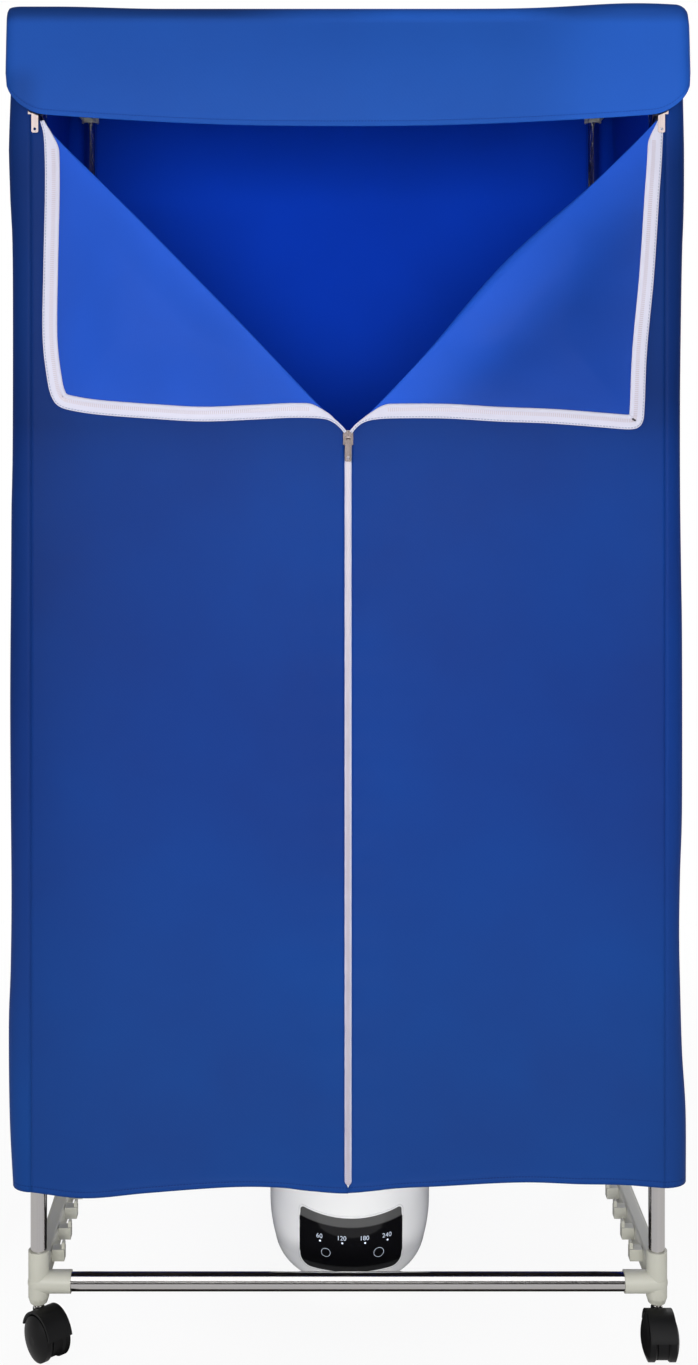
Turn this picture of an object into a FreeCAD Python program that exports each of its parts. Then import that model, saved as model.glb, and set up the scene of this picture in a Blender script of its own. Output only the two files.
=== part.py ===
import FreeCAD, Part
import math
import os

# Portable clothes dryer: a tube frame on casters under a zipped cloth cover, with a fan heater on the floor.
# Millimetres. +X is to the right, +Y to the back and +Z up. The origin is on the floor under the middle.

# Frame tubes
upright_spacing_x = 680.0
upright_spacing_y = 430.0
upright_diameter = 18.0
rail_diameter = 20.0
tube_wall = 0.8
upright_joint_height = 724.0
swage_length = 46.0
swage_taper = 4.0
swage_fit = 0.05
frame_height = 1468.0

# Side frames: sockets for the tubes, a channel beam and hook teeth
socket_fit = 0.1
upright_socket_wall = 2.3
rail_socket_wall = 2.0
rail_socket_reach = 36.0
rail_socket_depth = 22.0
bottom_socket_height = 57.0
bottom_upright_seat = 24.0
bottom_rail_rise = 22.0
bottom_beam_rise = 16.0
top_socket_height = 45.0
top_upright_seat = 14.0
top_rail_drop = 22.0
top_beam_rise = 1.0
foot_taper_height = 6.0
foot_taper = 2.0
beam_width = 18.0
beam_height = 24.0
beam_wall = 2.5
beam_edge_radius = 4.0
beam_rib = 2.0
tooth_count = 8
tooth_pitch = 50.0
tooth_reach = 14.0
tooth_width = 12.5
tooth_height = 13.0
bottom_tooth_rise = 11.0
top_tooth_rise = 1.0
lip_height = 7.0
lip_thickness = 3.5
lip_width = 8.0

# Hanging rods
rod_diameter = 16.0
rod_teeth = (2, 5)
rod_end_gap = 1.0
rod_slot_clearance = 1.5
rod_seat_gap = 0.05

# Casters
caster_height = 54.0
wheel_diameter = 48.0
wheel_width = 14.2
wheel_recess = 3.0
wheel_rim = 4.0
wheel_edge = 2.5
wheel_hub_diameter = 18.0
wheel_dome_radius = 52.0
wheel_tip_diameter = 10.0
stub_diameter = 8.0
stub_length = 10.0
stub_end_gap = 0.3
running_fit = 0.05
hood_web = 11.0
wheel_side_gap = 0.4
hood_clearance = 2.0
hood_wall = 2.5
hood_rise = 7.0
hood_web_inset = 2.0
hood_neck_diameter = 13.0
caster_trail = 17.5
stem_diameter = 8.0
stem_length = 21.0
stem_end_gap = 1.0
stem_collar_diameter = 12.0
stem_collar = 5.5
stem_groove_diameter = 10.0
stem_groove = 1.2
stem_collar_room = 1.0
pivot_length = 12.0
swivel_gap = 0.3
caster_angles = {"front_left": -49.0, "front_right": -90.0, "rear_left": -70.0, "rear_right": -120.0}

# Heater
heater_x = 6.0
heater_y = -25.0
heater_radius = 96.0
heater_wall = 2.5
heater_foot_height = 4.0
heater_foot_radius = 7.0
heater_foot_circle = 40.0
heater_foot_recess = 1.2
heater_floor_inset = 44.0
heater_belly_z = 42.0
heater_belly_inset = 6.0
heater_bowl_z = 16.0
heater_bowl_inset = 20.0
heater_waist_share = 0.75
heater_shoulder_z = 86.0
heater_split_z = 110.0
heater_crown_z = 126.0
heater_crown_mid_z = 166.0
heater_crown_mid_inset = 2.6
heater_crown_end_z = 193.0
heater_crown_end_inset = 12.0
heater_top_z = 200.0
outlet_inset = 24.0
outlet_ledge = 4.0
outlet_lip_round = 1.5
outlet_grille_height = 4.0
outlet_hub_radius = 15.0
outlet_rim = 5.0
outlet_vane = 2.0
outlet_vanes = 18
outlet_vane_sweep = 40.0
outlet_vane_bend = 14.0
grille_fit = 0.3
intake_slots = 13
intake_slot_width = 4.0
intake_slot_height = 44.0
intake_slot_z = 46.0
intake_step = 9.0
panel_width = 120.0
panel_bottom_z = 34.0
panel_top_z = 107.5
panel_corner = 14.0
panel_top_corner = 5.0
panel_dip = 6.0
panel_proud = 0.8
panel_sunk = 1.6
panel_fit = 0.15
board_width = 84.0
board_height = 32.0
board_thickness = 1.6
board_bottom_z = 50.0
board_set_back = 24.0
board_post_radius = 3.0
board_post_spacing = 50.0
motor_radius = 25.0
motor_height = 34.0
motor_seat_z = 46.0
motor_post_radius = 16.0
motor_nose_radius = 9.0
motor_nose = 4.0
shaft_diameter = 5.0
shaft_depth = 20.0
fan_inset = 22.0
fan_hub_radius = 15.0
fan_hub_height = 16.0
fan_gap = 2.0
fan_blades = 7
fan_blade_thickness = 1.6
fan_blade_root = 12.0
fan_root_chord = 18.0
fan_tip_chord = 30.0
fan_root_pitch = 40.0
fan_tip_pitch = 22.0
element_ledge = 6.0
element_ledge_width = 9.0
element_inset = 6.0
element_ring = 8.0
element_height = 20.0
element_fins = 15
element_fin = 1.6
inlet_width = 22.0
inlet_height = 14.0
inlet_corner = 5.0
inlet_z = 62.0
inlet_depth = 20.0
inlet_wall = 1.5
inlet_pin_radius = 1.1
inlet_pin_spacing = 8.6
inlet_pin_length = 13.0
inlet_fit = 0.1

# Cloth cover
cloth = 2.0
cover_seat_gap = 0.3
cover_side_room = 27.0
cover_front_room = 21.0
cover_corner = 22.0
cover_side_belly = 5.0
cover_back_belly = 12.0
cover_back_folds = 3
belly_at_top = 0.4
hem_height = 180.0
hem_side_rise = 8.0
hem_left_lift = 188.0
hem_right_lift = 194.0
hem_centre = 184.0
hem_right_end = 188.0

# Zips
chain_width = 4.0
chain_slit = 1.6
chain_thickness = 2.4
header_chain_drop = 106.3
header_chain_end = 1.0
panel_top_gap = 7.0

# Folded front flaps
flap_cloth = 1.6
flap_lay_gap = 0.8
fold_edge = 1.0
fold_top_drop = 132.3
fold_top_inset = 23.0
opening_height = 323.0
flap_corner_inset = {"left": 15.0, "right": 18.0}
flap_corner_rise = {"left": 23.0, "right": 3.0}
flap_corner_radius = 16.0
flap_tip = 10.0
tape_width = 17.0
tape = 1.2

# Valance
valance_cloth = 1.6
valance_overhang = 3.0
valance_drop = 125.3
valance_end_rise = 13.0
valance_stand_off = 17.0
valance_belly = 5.0
valance_corner = 45.0

# Zip sliders and pulls
slider_width = 11.0
slider_length = 16.0
slider_plate = 1.2
slider_gap = 0.4
slider_post = 1.0
slider_post_length = 4.0
slider_park = 4.0
bridge_radius = 0.8
bridge_length = 6.6
bridge_cheek = 1.0
bridge_stand_off = 2.6
pull_width = 7.4
pull_length = 26.0
pull_thickness = 1.2
pull_eye_radius = 2.0
pull_neck = 3.2
pull_hole_radius = 1.6
pull_hole_inset = 4.0

# Places worked out from the sizes above
half_x = upright_spacing_x / 2
half_y = upright_spacing_y / 2
upright_radius = upright_diameter / 2
rail_radius = rail_diameter / 2
socket_radius = upright_radius + socket_fit + upright_socket_wall
rail_socket_radius = rail_radius + socket_fit + rail_socket_wall
bottom_socket_top = caster_height + bottom_socket_height
bottom_seat_z = caster_height + bottom_upright_seat
bottom_rail_z = caster_height + bottom_rail_rise
bottom_beam_z = caster_height + bottom_beam_rise
top_socket_bottom = frame_height - top_socket_height
top_seat_z = frame_height - top_upright_seat
top_rail_z = frame_height - top_rail_drop
top_beam_z = top_socket_bottom + top_beam_rise
rail_end_x = half_x - rail_socket_reach + rail_socket_depth
beam_inner_x = half_x - beam_width / 2
wheel_radius = wheel_diameter / 2
hood_top = caster_height - stem_collar - swivel_gap
heater_floor_radius = heater_radius - heater_floor_inset
heater_belly_radius = heater_radius - heater_belly_inset
heater_bowl_radius = heater_radius - heater_bowl_inset
heater_crown_mid_radius = heater_radius - heater_crown_mid_inset
heater_crown_end_radius = heater_radius - heater_crown_end_inset
outlet_radius = heater_radius - outlet_inset
element_radius = heater_radius - element_inset
fan_radius = heater_radius - fan_inset
wall_x = half_x + cover_side_room
wall_y = half_y + cover_front_room
cover_top_z = frame_height + cover_seat_gap
front_face = -wall_y - cloth / 2
panel_x = wall_x - cover_corner
chain_inner = chain_slit / 2
panel_inner_x = chain_inner + chain_width
header_chain_z = cover_top_z - header_chain_drop
panel_top_z_edge = header_chain_z - panel_top_gap
fold_top_x = panel_x - fold_top_inset
fold_top_z = cover_top_z - fold_top_drop
apex_height = fold_top_z - opening_height
valance_half_width = wall_x + valance_overhang
valance_bottom = cover_top_z - valance_drop

X = FreeCAD.Vector(1, 0, 0)
Y = FreeCAD.Vector(0, 1, 0)
Z = FreeCAD.Vector(0, 0, 1)


def at(x, y, z):
    return FreeCAD.Vector(x, y, z)


def block(x0, x1, y0, y1, z0, z1):
    return Part.makeBox(x1 - x0, y1 - y0, z1 - z0, at(x0, y0, z0))


def cylinder(radius, start, end):
    along = end - start
    return Part.makeCylinder(radius, along.Length, start, along)


def pipe(radius, wall, start, end):
    return cylinder(radius, start, end).cut(cylinder(radius - wall, start, end))


def line(a, b):
    return Part.LineSegment(a, b).toShape()


def arc(a, middle, b):
    return Part.Arc(a, middle, b).toShape()


def face_of(edges):
    return Part.Face(Part.Wire(edges))


def polygon(points):
    return Part.Face(Part.makePolygon(points + points[:1]))


def turned(profile_edges, centre=at(0, 0, 0), axis=Z):
    return face_of(profile_edges).revolve(centre, axis, 360)


def joined(solids):
    return solids[0].fuse(solids[1:]).removeSplitter()


def write(name, shape):
    shape.exportStep("parts/" + name + ".step")


# Side frames: each is one moulding with two corner sockets, a channel beam and hook teeth


def corner_socket(side, y, low, high, rail_z):
    """A vertical collar for the upright, a level collar for the rail and a ball where they meet."""
    collar = cylinder(socket_radius, at(side * half_x, y, low), at(side * half_x, y, high))
    level_end = at(side * (half_x - rail_socket_reach), y, rail_z)
    level = cylinder(rail_socket_radius, at(side * half_x, y, rail_z), level_end)
    ball = Part.makeSphere(rail_socket_radius, at(side * half_x, y, rail_z))
    return [collar, level, ball]


def foot_cone(side, y, z):
    return Part.makeCone(
        socket_radius - foot_taper, socket_radius, foot_taper_height, at(side * half_x, y, z)
    )


def channel_beam(side, z):
    """A beam between the sockets with rounded top edges, hollow from below and ribbed at each tooth."""
    low_x = side * half_x - beam_width / 2
    high_x = side * half_x + beam_width / 2
    beam = block(low_x, high_x, -half_y, half_y, z, z + beam_height)
    top_edges = [e for e in beam.Edges if abs(e.CenterOfMass.z - z - beam_height) < 1e-6]
    long_edges = [e for e in top_edges if abs(e.tangentAt(e.FirstParameter).y) > 0.9]
    beam = beam.makeFillet(beam_edge_radius, long_edges)
    hollow_y = half_y - socket_radius - beam_wall
    hollow = block(
        low_x + beam_wall, high_x - beam_wall, -hollow_y, hollow_y, z, z + beam_height - beam_edge_radius
    )
    ribs = [
        block(low_x, high_x, y - beam_rib / 2, y + beam_rib / 2, z, z + beam_height - beam_edge_radius)
        for y in tooth_places()
    ]
    return beam.cut(hollow).fuse(ribs)


def tooth_places():
    first = -(tooth_count - 1) * tooth_pitch / 2
    return [first + i * tooth_pitch for i in range(tooth_count)]


def hook_tooth(side, y, z):
    """A block that stands in from the beam, with a round-topped lip at its inner end."""
    outer = side * beam_inner_x
    inner = side * (beam_inner_x - tooth_reach)
    lip_back = side * (beam_inner_x - tooth_reach + lip_thickness)
    shelf = block(
        min(outer, inner), max(outer, inner), y - tooth_width / 2, y + tooth_width / 2, z, z + tooth_height
    )
    lip_top = z + tooth_height + lip_height - lip_thickness / 2
    low_x = min(inner, lip_back)
    lip = block(low_x, low_x + lip_thickness, y - lip_width / 2, y + lip_width / 2, z + tooth_height, lip_top)
    lip_x = low_x + lip_thickness / 2
    crest = cylinder(lip_thickness / 2, at(lip_x, y - lip_width / 2, lip_top), at(lip_x, y + lip_width / 2, lip_top))
    return [shelf, lip, crest]


def side_frame(side, low, high, rail_z, beam_z, tooth_rise):
    pieces = [channel_beam(side, beam_z)]
    for y in (-half_y, half_y):
        pieces += corner_socket(side, y, low, high, rail_z)
    for y in tooth_places():
        pieces += hook_tooth(side, y, beam_z + tooth_rise)
    return pieces


def rail_bores(side, rail_z):
    start_x = side * rail_end_x
    end_x = side * (half_x - rail_socket_reach)
    radius = rail_radius + socket_fit
    return [cylinder(radius, at(start_x, y, rail_z), at(end_x, y, rail_z)) for y in (-half_y, half_y)]


def upright_bores(side, low, high):
    radius = upright_radius + socket_fit
    return [cylinder(radius, at(side * half_x, y, low), at(side * half_x, y, high)) for y in (-half_y, half_y)]


def bottom_side_frame(side):
    collar_low = caster_height + foot_taper_height
    pieces = side_frame(side, collar_low, bottom_socket_top, bottom_rail_z, bottom_beam_z, bottom_tooth_rise)
    pieces += [foot_cone(side, y, caster_height) for y in (-half_y, half_y)]
    stem_radius = stem_diameter / 2 + running_fit
    stem_top = caster_height + stem_length + stem_end_gap
    bores = [
        cylinder(stem_radius, at(side * half_x, y, caster_height), at(side * half_x, y, stem_top))
        for y in (-half_y, half_y)
    ]
    bores += rail_bores(side, bottom_rail_z)
    bores += upright_bores(side, bottom_seat_z, bottom_socket_top)
    return joined(pieces).cut(bores)


def top_side_frame(side):
    pieces = side_frame(side, top_socket_bottom, frame_height, top_rail_z, top_beam_z, top_tooth_rise)
    bores = rail_bores(side, top_rail_z)
    bores += upright_bores(side, top_socket_bottom, top_seat_z)
    return joined(pieces).cut(bores)


# Uprights: a lower tube with a swaged end that plugs into the upper tube


def lower_upright(x, y):
    spigot = upright_radius - tube_wall - swage_fit
    bore = upright_radius - tube_wall
    shoulder_z = upright_joint_height - swage_taper
    end_z = upright_joint_height + swage_length
    outline = [
        at(x + upright_radius, y, bottom_seat_z),
        at(x + upright_radius, y, shoulder_z),
        at(x + spigot, y, upright_joint_height),
        at(x + spigot, y, end_z),
        at(x + spigot - tube_wall, y, end_z),
        at(x + spigot - tube_wall, y, upright_joint_height),
        at(x + bore, y, shoulder_z),
        at(x + bore, y, bottom_seat_z),
    ]
    return polygon(outline).revolve(at(x, y, 0), Z, 360)


def upper_upright(x, y):
    return pipe(upright_radius, tube_wall, at(x, y, upright_joint_height), at(x, y, top_seat_z))


def rail(y, z):
    return pipe(rail_radius, tube_wall, at(-rail_end_x, y, z), at(rail_end_x, y, z))


# Hanging rods: tubes that lie on the upper teeth, each lip in a slot under the rod's end


def hanging_rod(y):
    z = top_beam_z + top_tooth_rise + tooth_height + rod_diameter / 2 + rod_seat_gap
    end_x = beam_inner_x - rod_end_gap
    rod = pipe(rod_diameter / 2, tube_wall, at(-end_x, y, z), at(end_x, y, z))
    slot_low = beam_inner_x - tooth_reach - rod_slot_clearance
    slot_high = beam_inner_x - tooth_reach + lip_thickness + rod_slot_clearance
    half_slot = lip_width / 2 + rod_slot_clearance / 2
    slots = [
        block(min(s * slot_low, s * slot_high), max(s * slot_low, s * slot_high), y - half_slot, y + half_slot,
              z - rod_diameter / 2, z)
        for s in (-1, 1)
    ]
    return rod.cut(slots)


# Casters: drawn with the swivel axis on Z and the wheels trailing towards +X


def wheel_face(radius):
    """How far the domed outer face stands from the wheel's inner side at a radius."""
    tip = wheel_tip_diameter / 2
    return wheel_width - math.sqrt(wheel_dome_radius**2 - tip**2) + math.sqrt(wheel_dome_radius**2 - radius**2)


def wheel(outward):
    """A wheel of revolution: a rim, a recess round the hub on its inner side and a domed outer face."""
    inner = outward * (hood_web / 2 + wheel_side_gap)
    bore = stub_diameter / 2 + running_fit
    hub = wheel_hub_diameter / 2
    rim_inner = wheel_radius - wheel_rim
    tip = wheel_tip_diameter / 2
    middle = (wheel_radius + tip) / 2

    def spot(radius, across):
        return at(caster_trail + radius, inner + outward * across, wheel_radius)

    blind = stub_length - wheel_side_gap + stub_end_gap
    shoulder = wheel_face(wheel_radius)
    profile = [
        line(spot(bore, 0), spot(hub, 0)),
        line(spot(hub, 0), spot(hub, wheel_recess)),
        line(spot(hub, wheel_recess), spot(rim_inner, wheel_recess)),
        line(spot(rim_inner, wheel_recess), spot(rim_inner, 0)),
        line(spot(rim_inner, 0), spot(wheel_radius - wheel_edge, 0)),
        line(spot(wheel_radius - wheel_edge, 0), spot(wheel_radius, wheel_edge)),
        line(spot(wheel_radius, wheel_edge), spot(wheel_radius, shoulder)),
        arc(spot(wheel_radius, shoulder), spot(middle, wheel_face(middle)), spot(tip, wheel_width)),
        line(spot(tip, wheel_width), spot(0, wheel_width)),
        line(spot(0, wheel_width), spot(0, blind)),
        line(spot(0, blind), spot(bore, blind)),
        line(spot(bore, blind), spot(bore, 0)),
    ]
    return turned(profile, at(caster_trail, 0, wheel_radius), Y)


def hood():
    """A web between the wheels with a stub on each side, a mudguard over them and a neck on the pivot."""
    centre = at(caster_trail, 0, wheel_radius)
    half_width = hood_web / 2 + wheel_side_gap + wheel_face(wheel_radius)
    outer = wheel_radius + hood_clearance + hood_wall
    guard = cylinder(outer, centre - Y * half_width, centre + Y * half_width)
    above = block(-2 * outer, 4 * outer, -outer, outer, wheel_radius + hood_rise, caster_height)
    guard = guard.common(above)
    web = cylinder(wheel_radius - hood_web_inset, centre - Y * (hood_web / 2), centre + Y * (hood_web / 2))
    neck = cylinder(hood_neck_diameter / 2, at(0, 0, wheel_radius + hood_rise), at(0, 0, hood_top))
    body = guard.fuse([web, neck])
    reach = wheel_radius + hood_clearance
    for side in (-1, 1):
        room = cylinder(reach, centre + Y * (side * hood_web / 2), centre + Y * (side * 2 * half_width))
        body = body.cut(room)
        stub_end = centre + Y * (side * (hood_web / 2 + stub_length))
        body = body.fuse(cylinder(stub_diameter / 2, centre, stub_end))
    pivot_low = caster_height - stem_collar - pivot_length - stem_end_gap
    bore = cylinder(stem_diameter / 2 + running_fit, at(0, 0, pivot_low), at(0, 0, hood_top))
    collar_radius = stem_collar_diameter / 2 + stem_collar_room
    collar_room = cylinder(collar_radius, at(0, 0, hood_top), at(0, 0, caster_height))
    return body.cut([bore, collar_room]).removeSplitter()


def stem():
    """A pivot for the hood, a grooved collar under the socket and a stem up into it."""
    collar_low = caster_height - stem_collar
    pivot = cylinder(stem_diameter / 2, at(0, 0, collar_low - pivot_length), at(0, 0, collar_low))
    collar = cylinder(stem_collar_diameter / 2, at(0, 0, collar_low), at(0, 0, caster_height))
    groove_low = collar_low + (stem_collar - stem_groove) / 2
    groove_wall = (stem_collar_diameter - stem_groove_diameter) / 2
    groove = pipe(stem_collar_diameter / 2, groove_wall, at(0, 0, groove_low), at(0, 0, groove_low + stem_groove))
    upper = cylinder(stem_diameter / 2, at(0, 0, caster_height), at(0, 0, caster_height + stem_length))
    return joined([pivot, collar.cut(groove), upper])


def placed_caster_piece(shape, corner):
    x = -half_x if "left" in corner else half_x
    y = -half_y if "front" in corner else half_y
    shape.rotate(at(0, 0, 0), Z, caster_angles[corner])
    shape.translate(at(x, y, 0))
    return shape


# Heater: a bowl-shaped base, a domed upper shell and what they hold, drawn on the middle line of the frame


def heater_point(radius, z):
    return at(radius, heater_y, z)


def bowl_points(inset):
    """Points up the bowl's side from its floor to the split line, drawn in by inset."""
    floor_z = heater_foot_height + inset
    floor = heater_point(heater_floor_radius, floor_z)
    slanted = inset * math.sqrt(0.5)
    bowl = heater_point(heater_bowl_radius - slanted, heater_bowl_z + slanted)
    belly = heater_point(heater_belly_radius - inset, heater_belly_z)
    middle_z = (heater_belly_z + heater_shoulder_z) / 2
    middle_radius = heater_belly_radius + heater_waist_share * (heater_radius - heater_belly_radius)
    waist = heater_point(middle_radius - inset, middle_z)
    shoulder = heater_point(heater_radius - inset, heater_shoulder_z)
    rim = heater_point(heater_radius - inset, heater_split_z)
    return floor, bowl, belly, waist, shoulder, rim


def bowl_solid(inset):
    floor, bowl, belly, waist, shoulder, rim = bowl_points(inset)
    axis_low = heater_point(0, heater_foot_height + inset)
    axis_high = heater_point(0, heater_split_z)
    side = [arc(floor, bowl, belly), arc(belly, waist, shoulder), line(shoulder, rim)]
    edges = [line(axis_low, floor)] + side + [line(rim, axis_high), line(axis_high, axis_low)]
    return turned(edges, at(0, heater_y, 0))


def bowl_hollow():
    """The space inside the bowl: straight tapers through the same points as the outer side."""
    axis_low = heater_point(0, heater_foot_height + heater_wall)
    axis_high = heater_point(0, heater_split_z)
    points = [axis_low] + list(bowl_points(heater_wall)) + [axis_high]
    return polygon(points).revolve(at(0, heater_y, 0), Z, 360)


def panel_prism(clearance):
    """The outline of the control panel seen from the front: rounded corners and a dipped top edge."""
    w = panel_width / 2 + clearance
    low = panel_bottom_z - clearance
    high = panel_top_z + clearance
    c = panel_corner
    t = panel_top_corner
    y = heater_y - 2 * heater_radius
    k = 1 - math.sqrt(0.5)
    edges = [
        line(at(-w + c, y, low), at(w - c, y, low)),
        arc(at(w - c, y, low), at(w - k * c, y, low + k * c), at(w, y, low + c)),
        line(at(w, y, low + c), at(w, y, high - t)),
        arc(at(w, y, high - t), at(w - k * t, y, high - k * t), at(w - t, y, high)),
        arc(at(w - t, y, high), at(0, y, high - panel_dip), at(t - w, y, high)),
        arc(at(t - w, y, high), at(k * t - w, y, high - k * t), at(-w, y, high - t)),
        line(at(-w, y, high - t), at(-w, y, low + c)),
        arc(at(-w, y, low + c), at(k * c - w, y, low + k * c), at(c - w, y, low)),
    ]
    return face_of(edges).extrude(Y * (2 * heater_radius))


def control_panel():
    return bowl_solid(-panel_proud).cut(bowl_solid(panel_sunk)).common(panel_prism(0))


def inlet_prism(clearance):
    """A rounded slot of the inlet's size, running out through the back of the bowl."""
    w = inlet_width / 2 + clearance
    h = inlet_height / 2 + clearance
    c = inlet_corner + clearance
    k = c * (1 - math.sqrt(0.5))
    y = heater_y + heater_radius - inlet_depth - clearance
    z = inlet_z
    edges = [line(at(c - w, y, z - h), at(w - c, y, z - h))]
    edges.append(arc(at(w - c, y, z - h), at(w - k, y, z - h + k), at(w, y, z - h + c)))
    edges.append(line(at(w, y, z - h + c), at(w, y, z + h - c)))
    edges.append(arc(at(w, y, z + h - c), at(w - k, y, z + h - k), at(w - c, y, z + h)))
    edges.append(line(at(w - c, y, z + h), at(c - w, y, z + h)))
    edges.append(arc(at(c - w, y, z + h), at(k - w, y, z + h - k), at(-w, y, z + h - c)))
    edges.append(line(at(-w, y, z + h - c), at(-w, y, z - h + c)))
    edges.append(arc(at(-w, y, z - h + c), at(k - w, y, z - h + k), at(c - w, y, z - h)))
    return face_of(edges).extrude(Y * (inlet_depth + heater_wall))


def power_inlet():
    """A two-pin socket whose mouth follows the back of the bowl."""
    body = inlet_prism(0).common(bowl_solid(0))
    pocket = inlet_prism(-inlet_wall)
    floor_y = heater_y + heater_radius - inlet_depth
    pins = [
        cylinder(inlet_pin_radius, at(s * inlet_pin_spacing / 2, floor_y + inlet_wall / 2, inlet_z),
                 at(s * inlet_pin_spacing / 2, floor_y + inlet_pin_length, inlet_z))
        for s in (-1, 1)
    ]
    return body.cut(pocket).fuse(pins)


def heater_base():
    shell = bowl_solid(0).cut(bowl_hollow())
    ledge_low = heater_split_z - element_ledge
    inner = heater_radius - heater_wall
    ledge = pipe(inner, element_ledge_width, at(0, heater_y, ledge_low), at(0, heater_y, heater_split_z))
    post = cylinder(motor_post_radius, at(0, heater_y, heater_foot_height + heater_wall), at(0, heater_y, motor_seat_z))
    board_front = heater_y - heater_radius + board_set_back
    board_mid_z = board_bottom_z + board_height / 2
    board_posts = [
        cylinder(board_post_radius, at(s * board_post_spacing / 2, board_front, board_mid_z),
                 at(s * board_post_spacing / 2, board_front - 2 * board_set_back, board_mid_z))
        .common(bowl_hollow())
        for s in (-1, 1)
    ]
    shell = shell.fuse([ledge, post] + board_posts)
    recess = panel_prism(panel_fit).cut(bowl_solid(panel_sunk + panel_fit))
    shell = shell.cut([recess, inlet_prism(inlet_fit)])
    first = 90 - (intake_slots - 1) * intake_step / 2
    for i in range(intake_slots):
        angle = first + i * intake_step
        if abs(angle - 90) < 2 * intake_step:
            continue
        slot = block(heater_radius / 2, 2 * heater_radius, -intake_slot_width / 2, intake_slot_width / 2,
                     intake_slot_z, intake_slot_z + intake_slot_height)
        slot.rotate(at(0, 0, 0), Z, angle)
        slot.translate(at(0, heater_y, 0))
        shell = shell.cut(slot)
    for pad_x, pad_y in heater_foot_places():
        shell = shell.cut(
            cylinder(heater_foot_radius, at(pad_x, pad_y, 0), at(pad_x, pad_y, heater_foot_height + heater_foot_recess))
        )
    return shell.removeSplitter()


def heater_foot_places():
    angles = [math.radians(45 + 90 * i) for i in range(4)]
    return [(heater_foot_circle * math.cos(a), heater_y + heater_foot_circle * math.sin(a)) for a in angles]


def heater_feet():
    top = heater_foot_height + heater_foot_recess
    return Part.makeCompound([cylinder(heater_foot_radius, at(x, y, 0), at(x, y, top)) for x, y in heater_foot_places()])


def crown_edges(inset):
    low = heater_point(heater_radius - inset, heater_split_z)
    start = heater_point(heater_radius - inset, heater_crown_z)
    middle = heater_point(heater_crown_mid_radius - inset, heater_crown_mid_z)
    end = heater_point(heater_crown_end_radius - inset, heater_crown_end_z - inset / 2)
    return low, start, middle, end


def heater_crown():
    """The upper shell: straight above the split, domed in to a rolled lip round the outlet, with a ledge inside."""
    low, start, middle, end = crown_edges(0)
    low_in, start_in, middle_in, end_in = crown_edges(heater_wall)
    lip_top = heater_point(outlet_radius, heater_top_z)
    lip_middle = (heater_crown_end_radius + outlet_radius) / 2
    lip_bend = heater_point(lip_middle + outlet_lip_round, heater_top_z - outlet_lip_round)
    lip_low = heater_point(outlet_radius, heater_top_z - outlet_grille_height - heater_wall)
    profile = [
        line(low, start),
        arc(start, middle, end),
        arc(end, lip_bend, lip_top),
        line(lip_top, lip_low),
        line(lip_low, end_in),
        line(end_in, middle_in),
        line(middle_in, start_in),
        line(start_in, low_in),
        line(low_in, low),
    ]
    shell = turned(profile, at(0, heater_y, 0))
    ledge_high = heater_top_z - outlet_grille_height
    ledge = pipe(outlet_radius + heater_wall, outlet_ledge + heater_wall, at(0, heater_y, ledge_high - heater_wall),
                 at(0, heater_y, ledge_high))
    return shell.fuse(ledge).removeSplitter()


def outlet_vane_blade(angle):
    """A vane swept forward between hub and rim: the strip between two arcs, set upright."""
    z = heater_top_z - outlet_grille_height
    inner = outlet_hub_radius - outlet_vane
    outer = outlet_radius - grille_fit - outlet_rim / 2
    middle = (inner + outer) / 2

    def spot(radius, degrees, shift):
        a = math.radians(degrees)
        return at(radius * math.cos(a) - shift * math.sin(a), radius * math.sin(a) + shift * math.cos(a), z)

    h = outlet_vane / 2
    sweep = outlet_vane_sweep
    edges = [
        arc(spot(inner, 0, -h), spot(middle, outlet_vane_bend, -h), spot(outer, sweep, -h)),
        line(spot(outer, sweep, -h), spot(outer, sweep, h)),
        arc(spot(outer, sweep, h), spot(middle, outlet_vane_bend, h), spot(inner, 0, h)),
        line(spot(inner, 0, h), spot(inner, 0, -h)),
    ]
    vane = face_of(edges).extrude(Z * outlet_grille_height)
    vane.rotate(at(0, 0, 0), Z, angle)
    vane.translate(at(0, heater_y, 0))
    return vane


def outlet_grille():
    low = at(0, heater_y, heater_top_z - outlet_grille_height)
    high = at(0, heater_y, heater_top_z)
    rim = pipe(outlet_radius - grille_fit, outlet_rim, low, high)
    hub = cylinder(outlet_hub_radius, low, high)
    vanes = [outlet_vane_blade(360 * i / outlet_vanes) for i in range(outlet_vanes)]
    return joined([rim, hub] + vanes)


def control_board():
    front = heater_y - heater_radius + board_set_back
    return block(-board_width / 2, board_width / 2, front, front + board_thickness, board_bottom_z,
                 board_bottom_z + board_height)


def fan_motor():
    top_z = motor_seat_z + motor_height
    body = cylinder(motor_radius, at(0, heater_y, motor_seat_z), at(0, heater_y, top_z))
    nose = cylinder(motor_nose_radius, at(0, heater_y, top_z), at(0, heater_y, top_z + motor_nose))
    bore = cylinder(shaft_diameter / 2 + running_fit, at(0, heater_y, top_z - shaft_depth),
                    at(0, heater_y, top_z + motor_nose))
    return body.fuse(nose).cut(bore)


def blade_section(radius, chord, pitch, mid_z):
    """A flat strip of the blade across its length, tilted by its pitch."""
    a = math.radians(pitch)
    along = at(0, math.cos(a), math.sin(a)) * (chord / 2)
    across = at(0, -math.sin(a), math.cos(a)) * (fan_blade_thickness / 2)
    middle = at(radius, 0, mid_z)
    corners = [middle - along - across, middle + along - across, middle + along + across, middle - along + across]
    return Part.makePolygon(corners + corners[:1])


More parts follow.
